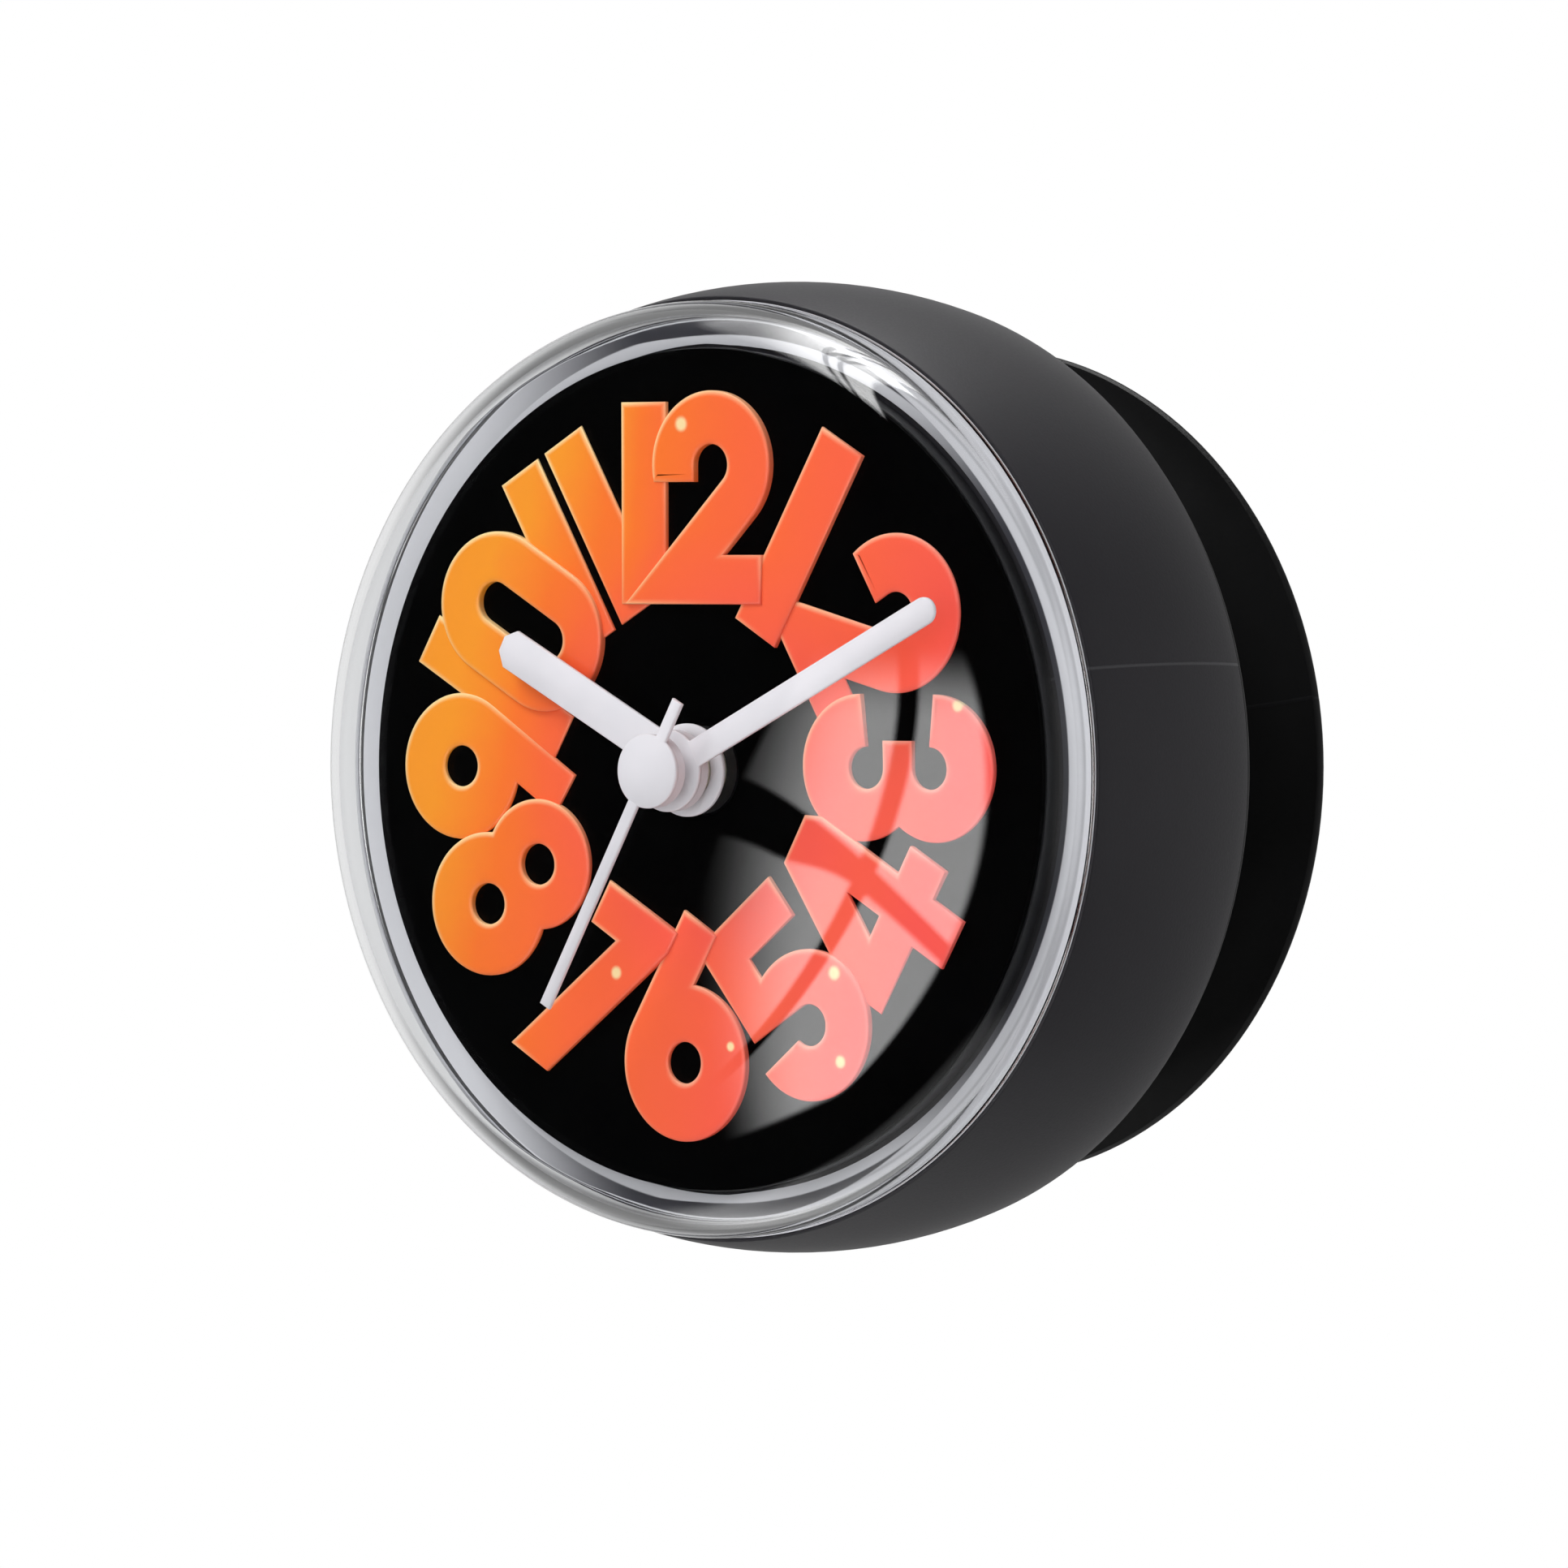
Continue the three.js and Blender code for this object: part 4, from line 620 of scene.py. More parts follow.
class Finishes:
    """Every finish of the clock, built once and shared by its pieces."""

    def __init__(self) -> None:
        """Builds the materials."""
        self.rubber = SeamedFinish(
            "black_rubber", (0.0055, 0.0055, 0.0058), (0.0075, 0.0075, 0.008),
            grain_mm=0.5, grain_depth_mm=0.012, cloud_mm=14.0, specular=0.35,
            seam_angle=9.5, seam_mm=0.2, seam_colour=(0.012, 0.012, 0.013),
        ).build()
        self.seal = MouldedFinish(
            "seal_rubber", (0.008, 0.008, 0.008), (0.012, 0.012, 0.012), roughness=0.55,
        ).build()
        # the case's front lip, past station lip_mm, gets painted light on its left
        self.soft = SeamedFinish(
            "soft_touch_charcoal", (0.0128, 0.0118, 0.0150), (0.0152, 0.0141, 0.0176),
            roughness=0.52, grain_mm=0.22, grain_depth_mm=0.012, cloud_mm=16.0, sheen=0.06, lip_mm=33.22,
        ).build()
        self.black = MouldedFinish(
            "moulded_black", (0.010, 0.010, 0.011), (0.014, 0.014, 0.015), roughness=0.48,
        ).build()
        self.clear = ClearFinish("clear_lens").build()
        self.pale = GasketFinish("pale_gasket").build()
        self.dial = MouldedFinish(
            "dial_black", (0.0003, 0.0003, 0.0004), (0.0006, 0.0006, 0.0007),
            roughness=0.62, grain_mm=0.2, grain_depth_mm=0.004, cloud_mm=8.0, specular=0.04,
        ).build()
        self.numeral = NumeralFinish("numeral_orange_to_coral").build()
        self.hand = MouldedFinish(
            "hand_off_white", (0.80, 0.77, 0.80), (0.74, 0.72, 0.75),
            roughness=0.42, grain_mm=0.3, grain_depth_mm=0.003, cloud_mm=6.0, specular=0.4,
        ).build()
        self.wheel = MouldedFinish(
            "wheel_natural", (0.82, 0.77, 0.64), (0.74, 0.69, 0.56), roughness=0.45,
        ).build()
        self.steel = MetalFinish(
            "plain_steel", (0.58, 0.59, 0.60), (0.50, 0.51, 0.53), roughness=0.28,
        ).build()
        self.brass = MetalFinish(
            "turned_brass", (0.72, 0.52, 0.20), (0.62, 0.43, 0.15), roughness=0.26,
        ).build()
        self.copper = WindingFinish("copper_winding").build()
        self.board = BoardFinish("circuit_board").build()


# Surfaces


def arc(centre: Tuple[float, float], radius: float, start: float, end: float, step: float = 4.0) -> Points:
    """Points of an arc: centre + radius (cos a, sin a) for a from start to end.

    Args:
        centre: centre of the arc.
        radius: its radius.
        start: first angle in degrees, counter-clockwise from the first axis.
        end: last angle in degrees.
        step: largest angle between two points.
    Returns:
        An array of points, two columns.
    """
    count = max(2, int(math.ceil(abs(end - start) / step)) + 1)
    angle = np.radians(np.linspace(start, end, count))
    return np.stack([centre[0] + radius * np.cos(angle), centre[1] + radius * np.sin(angle)], axis=1)


def path(*pieces: Union[Points, Sequence[float]]) -> Points:
    """Joins points and arcs into one outline, dropping points that repeat."""
    points = np.vstack([np.atleast_2d(np.asarray(piece, float)) for piece in pieces])
    apart = np.linalg.norm(points - np.roll(points, 1, axis=0), axis=1) > TINY
    return points[apart]


def fillet(outline: Points, radius: float, steps: int = 4) -> Points:
    """Rounds every corner of an open outline with a quadratic curve.

    A corner P between neighbours A and B becomes (1-t)^2 P0 + 2t(1-t) P + t^2 P1, where P0 and P1
    lie on its two sides at the fillet's reach, which is at most FILLET_SHARE of the shorter side.

    Args:
        outline: points, two columns.
        radius: reach of the rounding along each side.
        steps: number of pieces in each corner.
    Returns:
        The rounded outline.
    """
    corner = outline[1:-1]
    back, ahead = outline[:-2] - corner, outline[2:] - corner
    back_len = np.linalg.norm(back, axis=1, keepdims=True)
    ahead_len = np.linalg.norm(ahead, axis=1, keepdims=True)
    reach = np.minimum(radius, FILLET_SHARE * np.minimum(back_len, ahead_len))
    first, last = corner + back / back_len * reach, corner + ahead / ahead_len * reach
    t = np.linspace(0.0, 1.0, steps + 1)[None, :, None]
    curve = (1 - t) ** 2 * first[:, None] + 2 * t * (1 - t) * corner[:, None] + t ** 2 * last[:, None]
    return np.vstack([outline[:1], curve.reshape(-1, 2), outline[-1:]])


def mesh_object(
    name: str,
    vertices: Points,
    faces: Sequence[Sequence[int]],
    material: bpy.types.Material,
    crease: float = 32.0,
) -> bpy.types.Object:
    """Puts a surface into the scene, with its place in its mesh.

    Args:
        name: the piece's name.
        vertices: points in metres.
        faces: rings of vertex numbers, counter-clockwise from outside.
        material: the piece's finish.
        crease: angle in degrees past which an edge stays sharp.
    Returns:
        The object.
    """
    mesh = bpy.data.meshes.new(name)
    mesh.from_pydata(vertices.tolist(), [], [list(map(int, face)) for face in faces])
    mesh.polygons.foreach_set("use_smooth", np.ones(len(mesh.polygons), bool))
    mesh.set_sharp_from_angle(angle=math.radians(crease))
    mesh.materials.append(material)
    mesh.update()
    piece = bpy.data.objects.new(name, mesh)
    bpy.context.scene.collection.objects.link(piece)
    return piece


def grid_faces(rows: int, columns: int) -> np.ndarray:
    """Quads of a grid that is closed along its columns and open along its rows."""
    row, column = np.meshgrid(np.arange(rows - 1), np.arange(columns), indexing="ij")
    here = row * columns + column
    beside = row * columns + (column + 1) % columns
    return np.stack([here, beside, beside + columns, here + columns], axis=-1).reshape(-1, 4)


def lathe(
    name: str, outline: Points, material: bpy.types.Material, sides: int = 160, closed: bool = True
) -> bpy.types.Object:
    """Turns an outline about the clock axis: P(i, a) = (r_i sin a, -s_i, r_i cos a).

    The outline holds (radius, station) pairs in millimetres and runs so that the solid lies on its
    left. Where it starts or ends on the axis, the pole is one vertex.

    Args:
        name: the piece's name.
        outline: points, two columns.
        material: its finish.
        sides: number of columns.
        closed: whether the last point joins the first, as on a ring.
    Returns:
        The object.
    """
    angle = np.linspace(0.0, TURN, sides, endpoint=False)
    on_axis = outline[:, 0] < TINY
    rows = outline if not closed else np.vstack([outline, outline[:1]])
    ring = rows[rows[:, 0] >= TINY]
    radius, station = ring[:, :1] * MM, ring[:, 1:] * MM
    points = np.stack([
        radius * np.sin(angle), np.broadcast_to(-station, (len(ring), sides)), radius * np.cos(angle),
    ], axis=-1).reshape(-1, 3)
    quads = grid_faces(len(ring), sides)
    faces: List[Sequence[int]] = quads.tolist()
    if closed:
        body = (len(ring) - 1) * sides
        points = points[:body]
        faces = (quads % body).tolist()
    column = np.arange(sides)
    if on_axis[0]:
        pole = len(points)
        points = np.vstack([points, [[0.0, -outline[0, 1] * MM, 0.0]]])
        faces += np.stack([np.full(sides, pole), (column + 1) % sides, column], axis=1).tolist()
    if on_axis[-1]:
        pole, last = len(points), (len(ring) - 1) * sides
        points = np.vstack([points, [[0.0, -outline[-1, 1] * MM, 0.0]]])
        faces += np.stack([np.full(sides, pole), last + column, last + (column + 1) % sides], axis=1).tolist()
    return mesh_object(name, points, [face[::-1] for face in faces], material)


def inset(loop: Points, distance: float) -> Points:
    """Moves a closed outline to its left: each corner goes along its mitre, d / cos(half the turn).

    Args:
        loop: points, counter-clockwise for an outside and clockwise for a hole.
        distance: how far each side moves.
    Returns:
        The moved outline.
    """
    ahead = np.roll(loop, -1, axis=0) - loop
    ahead /= np.linalg.norm(ahead, axis=1, keepdims=True)
    left = np.stack([-ahead[:, 1], ahead[:, 0]], axis=1)
    before = np.roll(left, 1, axis=0)
    mitre = left + before
    scale = np.clip(np.sum(mitre * left, axis=1, keepdims=True), LEAST_MITRE, None)
    return loop + distance * mitre / scale


def plate(
    name: str,
    loops: Sequence[Points],
    levels: Sequence[Tuple[float, float]],
    seat: Callable[[Points, float], Points],
    material: bpy.types.Material,
) -> bpy.types.Object:
    """A flat plate: an edge profile carried along each outline, with a cap at its two ends.

    Args:
        name: the piece's name.
        loops: the outside, counter-clockwise, and the holes, clockwise.
        levels: the edge profile as (inset, height) pairs from the back cap to the front cap.
        seat: turns outline points and a height into points of the row frame, in metres.
        material: the piece's finish.
    Returns:
        The object.
    """
    points: List[Points] = []
    faces: List[Sequence[int]] = []
    start = 0
    caps: List[List[int]] = [[], []]
    for loop in loops:
        count = len(loop)
        points += [seat(inset(loop, step), height) for step, height in levels]
        faces += (grid_faces(len(levels), count) + start).tolist()
        caps[0].append(start)
        caps[1].append(start + (len(levels) - 1) * count)
        start += count * len(levels)
    for end, firsts in enumerate(caps):
        rings = [inset(loop, levels[-end][0]) for loop in loops]
        flat = [[(p[0], p[1], 0.0) for p in ring] for ring in rings]
        numbers = np.concatenate([first + np.arange(len(ring)) for first, ring in zip(firsts, rings)])
        corners = np.concatenate(rings)
        triangles = np.asarray(tessellate_polygon(flat))
        a, b, c = (corners[triangles[:, i]] for i in range(3))
        turn = (b[:, 0] - a[:, 0]) * (c[:, 1] - a[:, 1]) - (b[:, 1] - a[:, 1]) * (c[:, 0] - a[:, 0])
        wrong = (turn < 0) if end else (turn > 0)
        triangles[wrong] = triangles[wrong][:, ::-1]
        faces += numbers[triangles].tolist()
    return mesh_object(name, np.vstack(points), faces, material, PLATE_CREASE)


def on_dial(angle: float = 0.0, station: float = 0.0) -> Callable[[Points, float], Points]:
    """A seat on the dial: outline points (u, v) turned clockwise by an angle, at station + height.

    Args:
        angle: turn in degrees, clockwise from twelve.
        station: station of height 0, in millimetres.
    Returns:
        The seat: (u, v), h -> (u cos a + v sin a, -(station + h), v cos a - u sin a) in metres.
    """
    turn = math.radians(angle)

    def seat(points: Points, height: float) -> Points:
        """Places outline points at a height."""
        u, v = points[:, 0], points[:, 1]
        x = u * math.cos(turn) + v * math.sin(turn)
        z = v * math.cos(turn) - u * math.sin(turn)
        return np.stack([x, np.full(len(points), -(station + height)), z], axis=1) * MM

    return seat


def settle(piece: bpy.types.Object, body: Body, slot: str, *nodes: str) -> bpy.types.Object:
    """Lets a piece ride on a body and hides the nodes that it stands for."""
    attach(piece, body.value)
    if nodes:
        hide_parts(*nodes)
    LOG.info("%s rides on %s", piece.name, body.value)
    return piece


def slot_of(node: str) -> str:
    """The record's material slot of a node."""
    return next(part["material_slot"] for part in frame["record"]["subparts"] if part["node"] == node)


# Sub-assemblies


@dataclass
class SuctionCup:
    """Black rubber cup: lip on the wall, hollow behind, flared skirt, neck and head."""

    radius: float = 31.5
    height: float = 11.4
    lip_width: float = 3.0
    lip_height: float = 1.2
    cavity: float = 4.5
    shoulder: float = 8.0
    neck: float = 4.5
    head: float = 6.8
    head_back: float = 13.6
    head_length: float = 2.6
    taper: float = 1.8
    flare: float = 1.15
    stud_round: float = 0.4
    steps: int = 24

    def outline(self) -> Points:
        """Outline from the hollow's middle over the lip and the skirt to the head's front.

        The hollow is cavity (1 - t^2) deep, and the skirt rises as t to the power of its flare.

        Returns:
            (radius, station) pairs.
        """
        t = np.linspace(0.0, 1.0, self.steps + 1)
        inner, round_ = self.radius - self.lip_width, 0.5 * self.lip_height
        hollow = np.stack([inner * t, self.cavity * (1 - t ** 2)], axis=1)
        lip = arc((self.radius - round_, round_), round_, -90.0, 45.0, 12.0)
        run = self.radius - self.lip_height - self.shoulder
        rise = self.height - self.lip_height
        skirt = np.stack([self.shoulder + run * (1 - t), self.lip_height + rise * t ** self.flare], axis=1)
        front = self.head_back + self.head_length
        stud = fillet(np.array([
            [self.shoulder, self.height], [self.neck, self.height], [self.neck, self.head_back],
            [self.head, self.head_back], [self.head, front - self.taper], [self.head - self.taper, front],
            [0.0, front],
        ]), self.stud_round)
        return path(hollow, lip, skirt, stud)

    def build(self, finishes: Finishes) -> None:
        """Makes the cup."""
        outline = self.outline()
        cup = lathe("suction_cup_rubber", outline, finishes.rubber, closed=False)
        settle(cup, Body.CUP, "black_rubber", "suction_cup")


@dataclass
class RearCover:
    """Shallow cone that carries the cup's neck and plugs the case, with its O-ring."""

    neck_hole: float = 4.7
    hub: float = 12.0
    back: float = 11.6
    wall: float = 1.8
    edge: float = 34.63
    flange_back: float = 14.3
    flange_front: float = 15.3
    spigot: float = 32.4
    bore: float = 30.4
    spigot_front: float = 20.3
    groove: float = 31.3
    groove_back: float = 16.5
    groove_front: float = 17.8
    seal_circle: float = 31.95
    seal_radius: float = 0.6
    edge_round: float = 0.3

    def build(self, finishes: Finishes) -> None:
        """Makes the cover as a turned ring, and the seal as a ring of round section."""
        face = self.back + self.wall
        slope = (self.flange_back - self.back) / (self.edge - self.hub)
        ring = np.array([
            [self.neck_hole, self.back], [self.hub, self.back], [self.edge, self.flange_back],
            [self.edge, self.flange_front], [self.spigot, self.flange_front],
            [self.spigot, self.groove_back], [self.groove, self.groove_back],
            [self.groove, self.groove_front], [self.spigot, self.groove_front],
            [self.spigot, self.spigot_front], [self.bore, self.spigot_front],
            [self.bore, face + slope * (self.bore - self.hub)], [self.hub, face], [self.neck_hole, face],
        ])
        middle = 0.5 * (ring[0] + ring[-1])
        outline = fillet(np.vstack([middle, ring, middle]), self.edge_round)[:-1]
        cover = lathe("rear_cover_moulding", outline, finishes.black)
        settle(cover, Body.COVER, "black_plastic", "rear_cover")
        centre = (self.seal_circle, 0.5 * (self.groove_back + self.groove_front))
        seal = lathe("cover_o_ring", arc(centre, self.seal_radius, 0.0, 345.0, 15.0), finishes.seal)
        settle(seal, Body.COVER, "black_rubber", "cover_seal")


@dataclass
class CaseShell:
    """Charcoal barrel with the ledge that carries the dial and the lens."""

    radius: float = 36.0
    rear: float = 15.5
    front: float = 33.3
    widest: float = 23.3
    barrel: float = 40.0
    bore: float = 32.6
    edge_round: float = 0.2
    lens_seat: float = 34.43
    ledge_face: float = 32.45
    ledge_back: float = 30.65
    ledge_bore: float = 28.0
    steps: int = 40
    edge_steps: int = 3
    round_steps: int = 5

    def barrel_radius(self, station: np.ndarray) -> np.ndarray:
        """Radius of the barrel at a station: R - B + sqrt(B^2 - (s - widest)^2)."""
        return self.radius - self.barrel + np.sqrt(self.barrel ** 2 - (station - self.widest) ** 2)

    def build(self, finishes: Finishes) -> None:
        """Makes the shell as a turned ring; the barrel's last steps leave room for its round edges."""
        station = np.linspace(self.rear, self.front, self.steps + 1)
        barrel = np.stack([self.barrel_radius(station), station], axis=1)
        middle = np.array([0.5 * (self.bore + barrel[0, 0]), self.rear])
        rest = np.array([
            [self.lens_seat, self.front], [self.lens_seat, self.ledge_face],
            [self.ledge_bore, self.ledge_face], [self.ledge_bore, self.ledge_back],
            [self.bore, self.ledge_back], [self.bore, self.rear], middle,
        ])
        run = barrel[self.edge_steps:-self.edge_steps]
        corners = np.vstack([middle, barrel[:1], run, barrel[-1:], rest])
        outline = fillet(corners, self.edge_round, self.round_steps)
        shell = lathe("case_barrel", outline[:-1], finishes.soft, RING_SIDES)
        settle(shell, Body.CASE, "soft_charcoal", "case_shell")


@dataclass
class Lens:
    """Clear domed shell with a rounded corner and a straight wall, and the pale gasket under it."""

    radius: float = 34.38
    wall: float = 1.0
    corner: float = 5.0
    corner_station: float = 34.65
    crown_angle: float = 25.0
    base: float = 33.15
    gasket_bore: float = 31.13
    gasket_back: float = 32.5
    gasket_thickness: float = 0.6
    gasket_edge: float = 0.1
    upstand: float = 34.425
    upstand_gap: float = 0.01
    upstand_front: float = 33.28
    foot_round: float = 0.1
    round_steps: int = 3

    def build(self, finishes: Finishes) -> None:
        """Makes the lens from crown and corner arcs that share a tangent, and the gasket as a ring."""
        centre = (self.radius - self.corner, self.corner_station)
        tilt = math.radians(self.crown_angle)
        crown = centre[0] / math.sin(tilt) + self.corner
        crown_centre = (0.0, self.corner_station - centre[0] / math.tan(tilt))
        turn = 90.0 - self.crown_angle
        bore = self.radius - self.wall
        foot = fillet(np.array([
            [bore, self.corner_station], [bore, self.base], [self.radius, self.base],
            [self.radius, self.corner_station],
        ]), self.foot_round, self.round_steps)
        outline = path(
            arc(crown_centre, crown - self.wall, 90.0, turn, 1.0),
            arc(centre, self.corner - self.wall, turn, 0.0),
            foot,
            arc(centre, self.corner, 0.0, turn),
            arc(crown_centre, crown, turn, 90.0, 1.0),
        )
        lens = lathe("lens_dome", outline, finishes.clear, RING_SIDES, closed=False)
        settle(lens, Body.CASE, "clear_plastic", "lens")
        face = self.gasket_back + self.gasket_thickness
        ring = np.array([
            [self.gasket_bore, self.gasket_back], [self.upstand, self.gasket_back],
            [self.upstand, self.upstand_front], [self.radius + self.upstand_gap, self.upstand_front],
            [self.radius + self.upstand_gap, face], [bore, face],
            [self.gasket_bore, self.gasket_back + self.gasket_edge],
        ])
        gasket = lathe("lens_gasket_ring", ring, finishes.pale, RING_SIDES)
        settle(gasket, Body.CASE, "pale_plastic", "lens_gasket")


@dataclass
class Dial:
    """Black dial on its dark carrier."""

    radius: float = 30.68
    hole: float = 3.41
    face: float = 34.6
    thickness: float = 0.4
    carrier: float = 30.78
    carrier_face: float = 34.15
    carrier_back: float = 32.95
    skirt: float = 28.98
    foot: float = 32.65
    edge_round: float = 0.12
    round_steps: int = 3

    def build(self, finishes: Finishes) -> None:
        """Makes the dial as a turned ring, and the carrier as one with softened edges."""
        back = self.face - self.thickness
        disc = np.array([
            [self.hole, back], [self.radius, back], [self.radius, self.face], [self.hole, self.face],
        ])
        settle(lathe("dial_disc", disc, finishes.dial, RING_SIDES), Body.CASE, "dial_black", "dial")
        middle = np.array([self.hole, 0.5 * (self.carrier_back + self.carrier_face)])
        ring = np.array([
            middle, [self.hole, self.carrier_back], [self.skirt, self.carrier_back],
            [self.skirt, self.foot], [self.carrier, self.foot],
            [self.carrier, self.carrier_face], [self.hole, self.carrier_face], middle,
        ])
        outline = fillet(ring, self.edge_round, self.round_steps)[:-1]
        carrier = lathe("dial_carrier_moulding", outline, finishes.black, RING_SIDES)
        settle(carrier, Body.CASE, "black_plastic", "dial_carrier")


@dataclass(frozen=True)
class Figures:
    """Outlines of the figures, in millimetres about the hour line at the numeral circle."""

    eye: float = 1.55
    foot: float = 3.65
    slant: float = 3.6
    terminal: float = 0.8
    pitch: float = 6.65
    arm: float = 1.35
    four_head: float = 0.8
    four_chamfer: float = 0.7
    counter_inset: float = 4.4
    counter_lap: float = 0.4
    five_left: float = 5.0
    slot_low: float = -0.25
    slot_top: float = 2.1
    seven_stem: float = 4.1

    def hole(self, x: float, y: float) -> Points:
        """Round eye, clockwise."""
        return arc((x, y), self.eye, 360.0, 6.0, 6.0)

    def one(self, left: float, bottom: float, right: float, top: float) -> List[Points]:
        """A plain bar."""
        return [np.array([[left, bottom], [right, bottom], [right, top], [left, top]])]

    def two(self, x: float, y: float, radius: float, bottom: float, right: float) -> List[Points]:
        """A bowl open at the lower left; its diagonal is tangent to bowl and eye at 45 degrees.

        Args:
            x, y: centre of the bowl.
            radius: its radius.
            bottom: level of the foot.
            right: right end of the foot.
        Returns:
            The outline.
        """
        lean = math.sqrt(0.5)
        left = bottom + x - y + self.eye / lean
        foot_top = bottom + self.foot
        level = y - self.terminal * self.eye
        outer = math.degrees(math.asin((y - level) / radius))
        return [path(
            [left, bottom], [right, bottom], [right, foot_top],
            [x - y + 2 * radius * lean + foot_top, foot_top],
            arc((x, y), radius, -45.0, 180.0 + outer),
            [x - self.eye, level],
            arc((x, y), self.eye, 180.0, -45.0),
        )]

    def three(self, x: float, y: float, radius: float, arm_left: float) -> List[Points]:
        """Two bowls that cross at the waist, open at the left, with a short arm between them."""
        low, middle = y - self.pitch, y - 0.5 * self.pitch
        waist = math.degrees(math.asin(0.5 * self.pitch / radius))
        drop = 0.5 * self.pitch - self.arm - self.eye
        return [path(
            arc((x, low), radius, 180.0, 360.0 + waist),
            arc((x, y), radius, -waist, 180.0),
            arc((x, y - drop), self.eye, 180.0, -90.0),
            [arm_left, middle + self.arm], [arm_left, middle - self.arm],
            arc((x, low + drop), self.eye, 90.0, -180.0),
        )]

    def four(
        self, stem: Tuple[float, float], low: float, top: float, bar: Tuple[float, float, float],
    ) -> List[Points]:
        """A stem, a crossbar and a diagonal that leaves a small triangular counter.

        Args:
            stem: left and right of the stem.
            low: its foot.
            top: its head.
            bar: left, right and top of the crossbar.
        Returns:
            The outside and the counter.
        """
        left, right, bar_top = bar
        bar_low = bar_top - self.foot
        head = stem[0] - self.four_head
        chamfer = self.four_chamfer
        slope = (head - left) / (top - bar_top)
        inner, outer = left + self.counter_inset, stem[0] + self.counter_lap
        return [
            np.array([
                [stem[0], low], [stem[1], low], [stem[1], bar_low], [right, bar_low], [right, bar_top],
                [stem[1], bar_top], [stem[1], top - 2 * chamfer], [stem[1] - chamfer, top], [head, top],
                [left, bar_top], [left, bar_low], [stem[0], bar_low],
            ]),
            np.array([[inner, bar_top], [outer, bar_top + (outer - inner) / slope], [outer, bar_top]]),
        ]

    def five(self, x: float, y: float, radius: float, top: float, right: float) -> List[Points]:
        """A bowl open at the left, a stem above its slot and a bar on top."""
        left = x - self.five_left
        stem = left + self.slant
        outer = 180.0 - math.degrees(math.asin(self.slot_low / radius))
        inner = 180.0 - math.degrees(math.asin(self.slot_low / self.eye))
        meet = math.degrees(math.acos((stem - x) / radius))
        return [path(
            arc((x, y), radius, outer, 360.0 + meet),
            [stem, top - self.slant], [right, top - self.slant], [right, top],
            [left, top], [left, y + self.slot_top],
            arc((x, y), self.eye, 90.0, inner - 360.0),
        )]

    def six(
        self, x: float, y: float, radius: float, slant: float, reach: float, turned: bool = False,
    ) -> List[Points]:
        """A bowl whose straight stem leaves it as a tangent; turned over it is a nine.

        Args:
            x, y: centre of the bowl.
            radius: its radius.
            slant: the stem's angle from the upright.
            reach: the stem's length from the tangent point.
            turned: whether it is turned half round about the bowl's centre.
        Returns:
            The outside and the eye.
        """
        lean = math.radians(slant)
        along = np.array([math.sin(lean), math.cos(lean)])
        left = np.array([-math.cos(lean), math.sin(lean)])
        tangent = 180.0 - slant
        meet = tangent - math.degrees(math.acos((radius - self.slant) / radius))
        bowl = arc((0.0, 0.0), radius, tangent, 360.0 + meet)
        ends = [left * (radius - self.slant) + along * reach, left * radius + along * reach]
        outside = path(bowl, *ends)
        sign = -1.0 if turned else 1.0
        return [np.array([x, y]) + sign * outside, self.hole(x, y)]

    def seven(self, left: float, right: float, bottom: float, top: float, foot: float) -> List[Points]:
        """A bar with a slanting stem from its right end."""
        half = 0.5 * self.seven_stem
        under, turn = top - self.slant, top - 0.5 * self.slant
        share = (under - bottom) / (turn - bottom)
        inner = foot - half + share * (right - 2 * half - (foot - half))
        return [np.array([
            [foot - half, bottom], [foot + half, bottom], [right, turn], [right, top],
            [left, top], [left, under], [inner, under],
        ])]

    def eight(self, x: float, y: float, radius: float, low: Tuple[float, float, float]) -> List[Points]:
        """Two bowls that cross; the chord between the crossings is square to the line of centres."""
        low_x, low_y, low_radius = low
        gap = math.hypot(x - low_x, y - low_y)
        heading = math.degrees(math.atan2(y - low_y, x - low_x))
        along = (gap ** 2 + low_radius ** 2 - radius ** 2) / (2 * gap)
        wide = math.degrees(math.acos(along / low_radius))
        narrow = math.degrees(math.acos((gap - along) / radius))
        return [
            path(
                arc((low_x, low_y), low_radius, heading + wide, heading + 360.0 - wide),
                arc((x, y), radius, heading - 180.0 + narrow, heading + 180.0 - narrow),
            ),
            self.hole(x, y),
            self.hole(low_x, low_y),
        ]

    def zero(self, x: float, y: float, half: float, height: float) -> List[Points]:
        """A bar with round ends round a narrower one."""
        rise, eye_rise = height - half, height - self.foot - self.eye
        return [
            path(arc((x, y + rise), half, 0.0, 180.0), arc((x, y - rise), half, 180.0, 360.0)),
            path(
                arc((x, y - eye_rise), self.eye, 360.0, 180.0, 6.0),
                arc((x, y + eye_rise), self.eye, 180.0, 0.0, 6.0),
            ),
        ]


@dataclass(frozen=True)
class Figure:
    """One figure on the dial: where it stands, and how far it stands out."""

    node: str
    hour: int
    loops: List[Points]
    height: float
    slope: float = 0.0
    facing: Facing = Facing.FOOT_IN
    tilt: float = 0.0


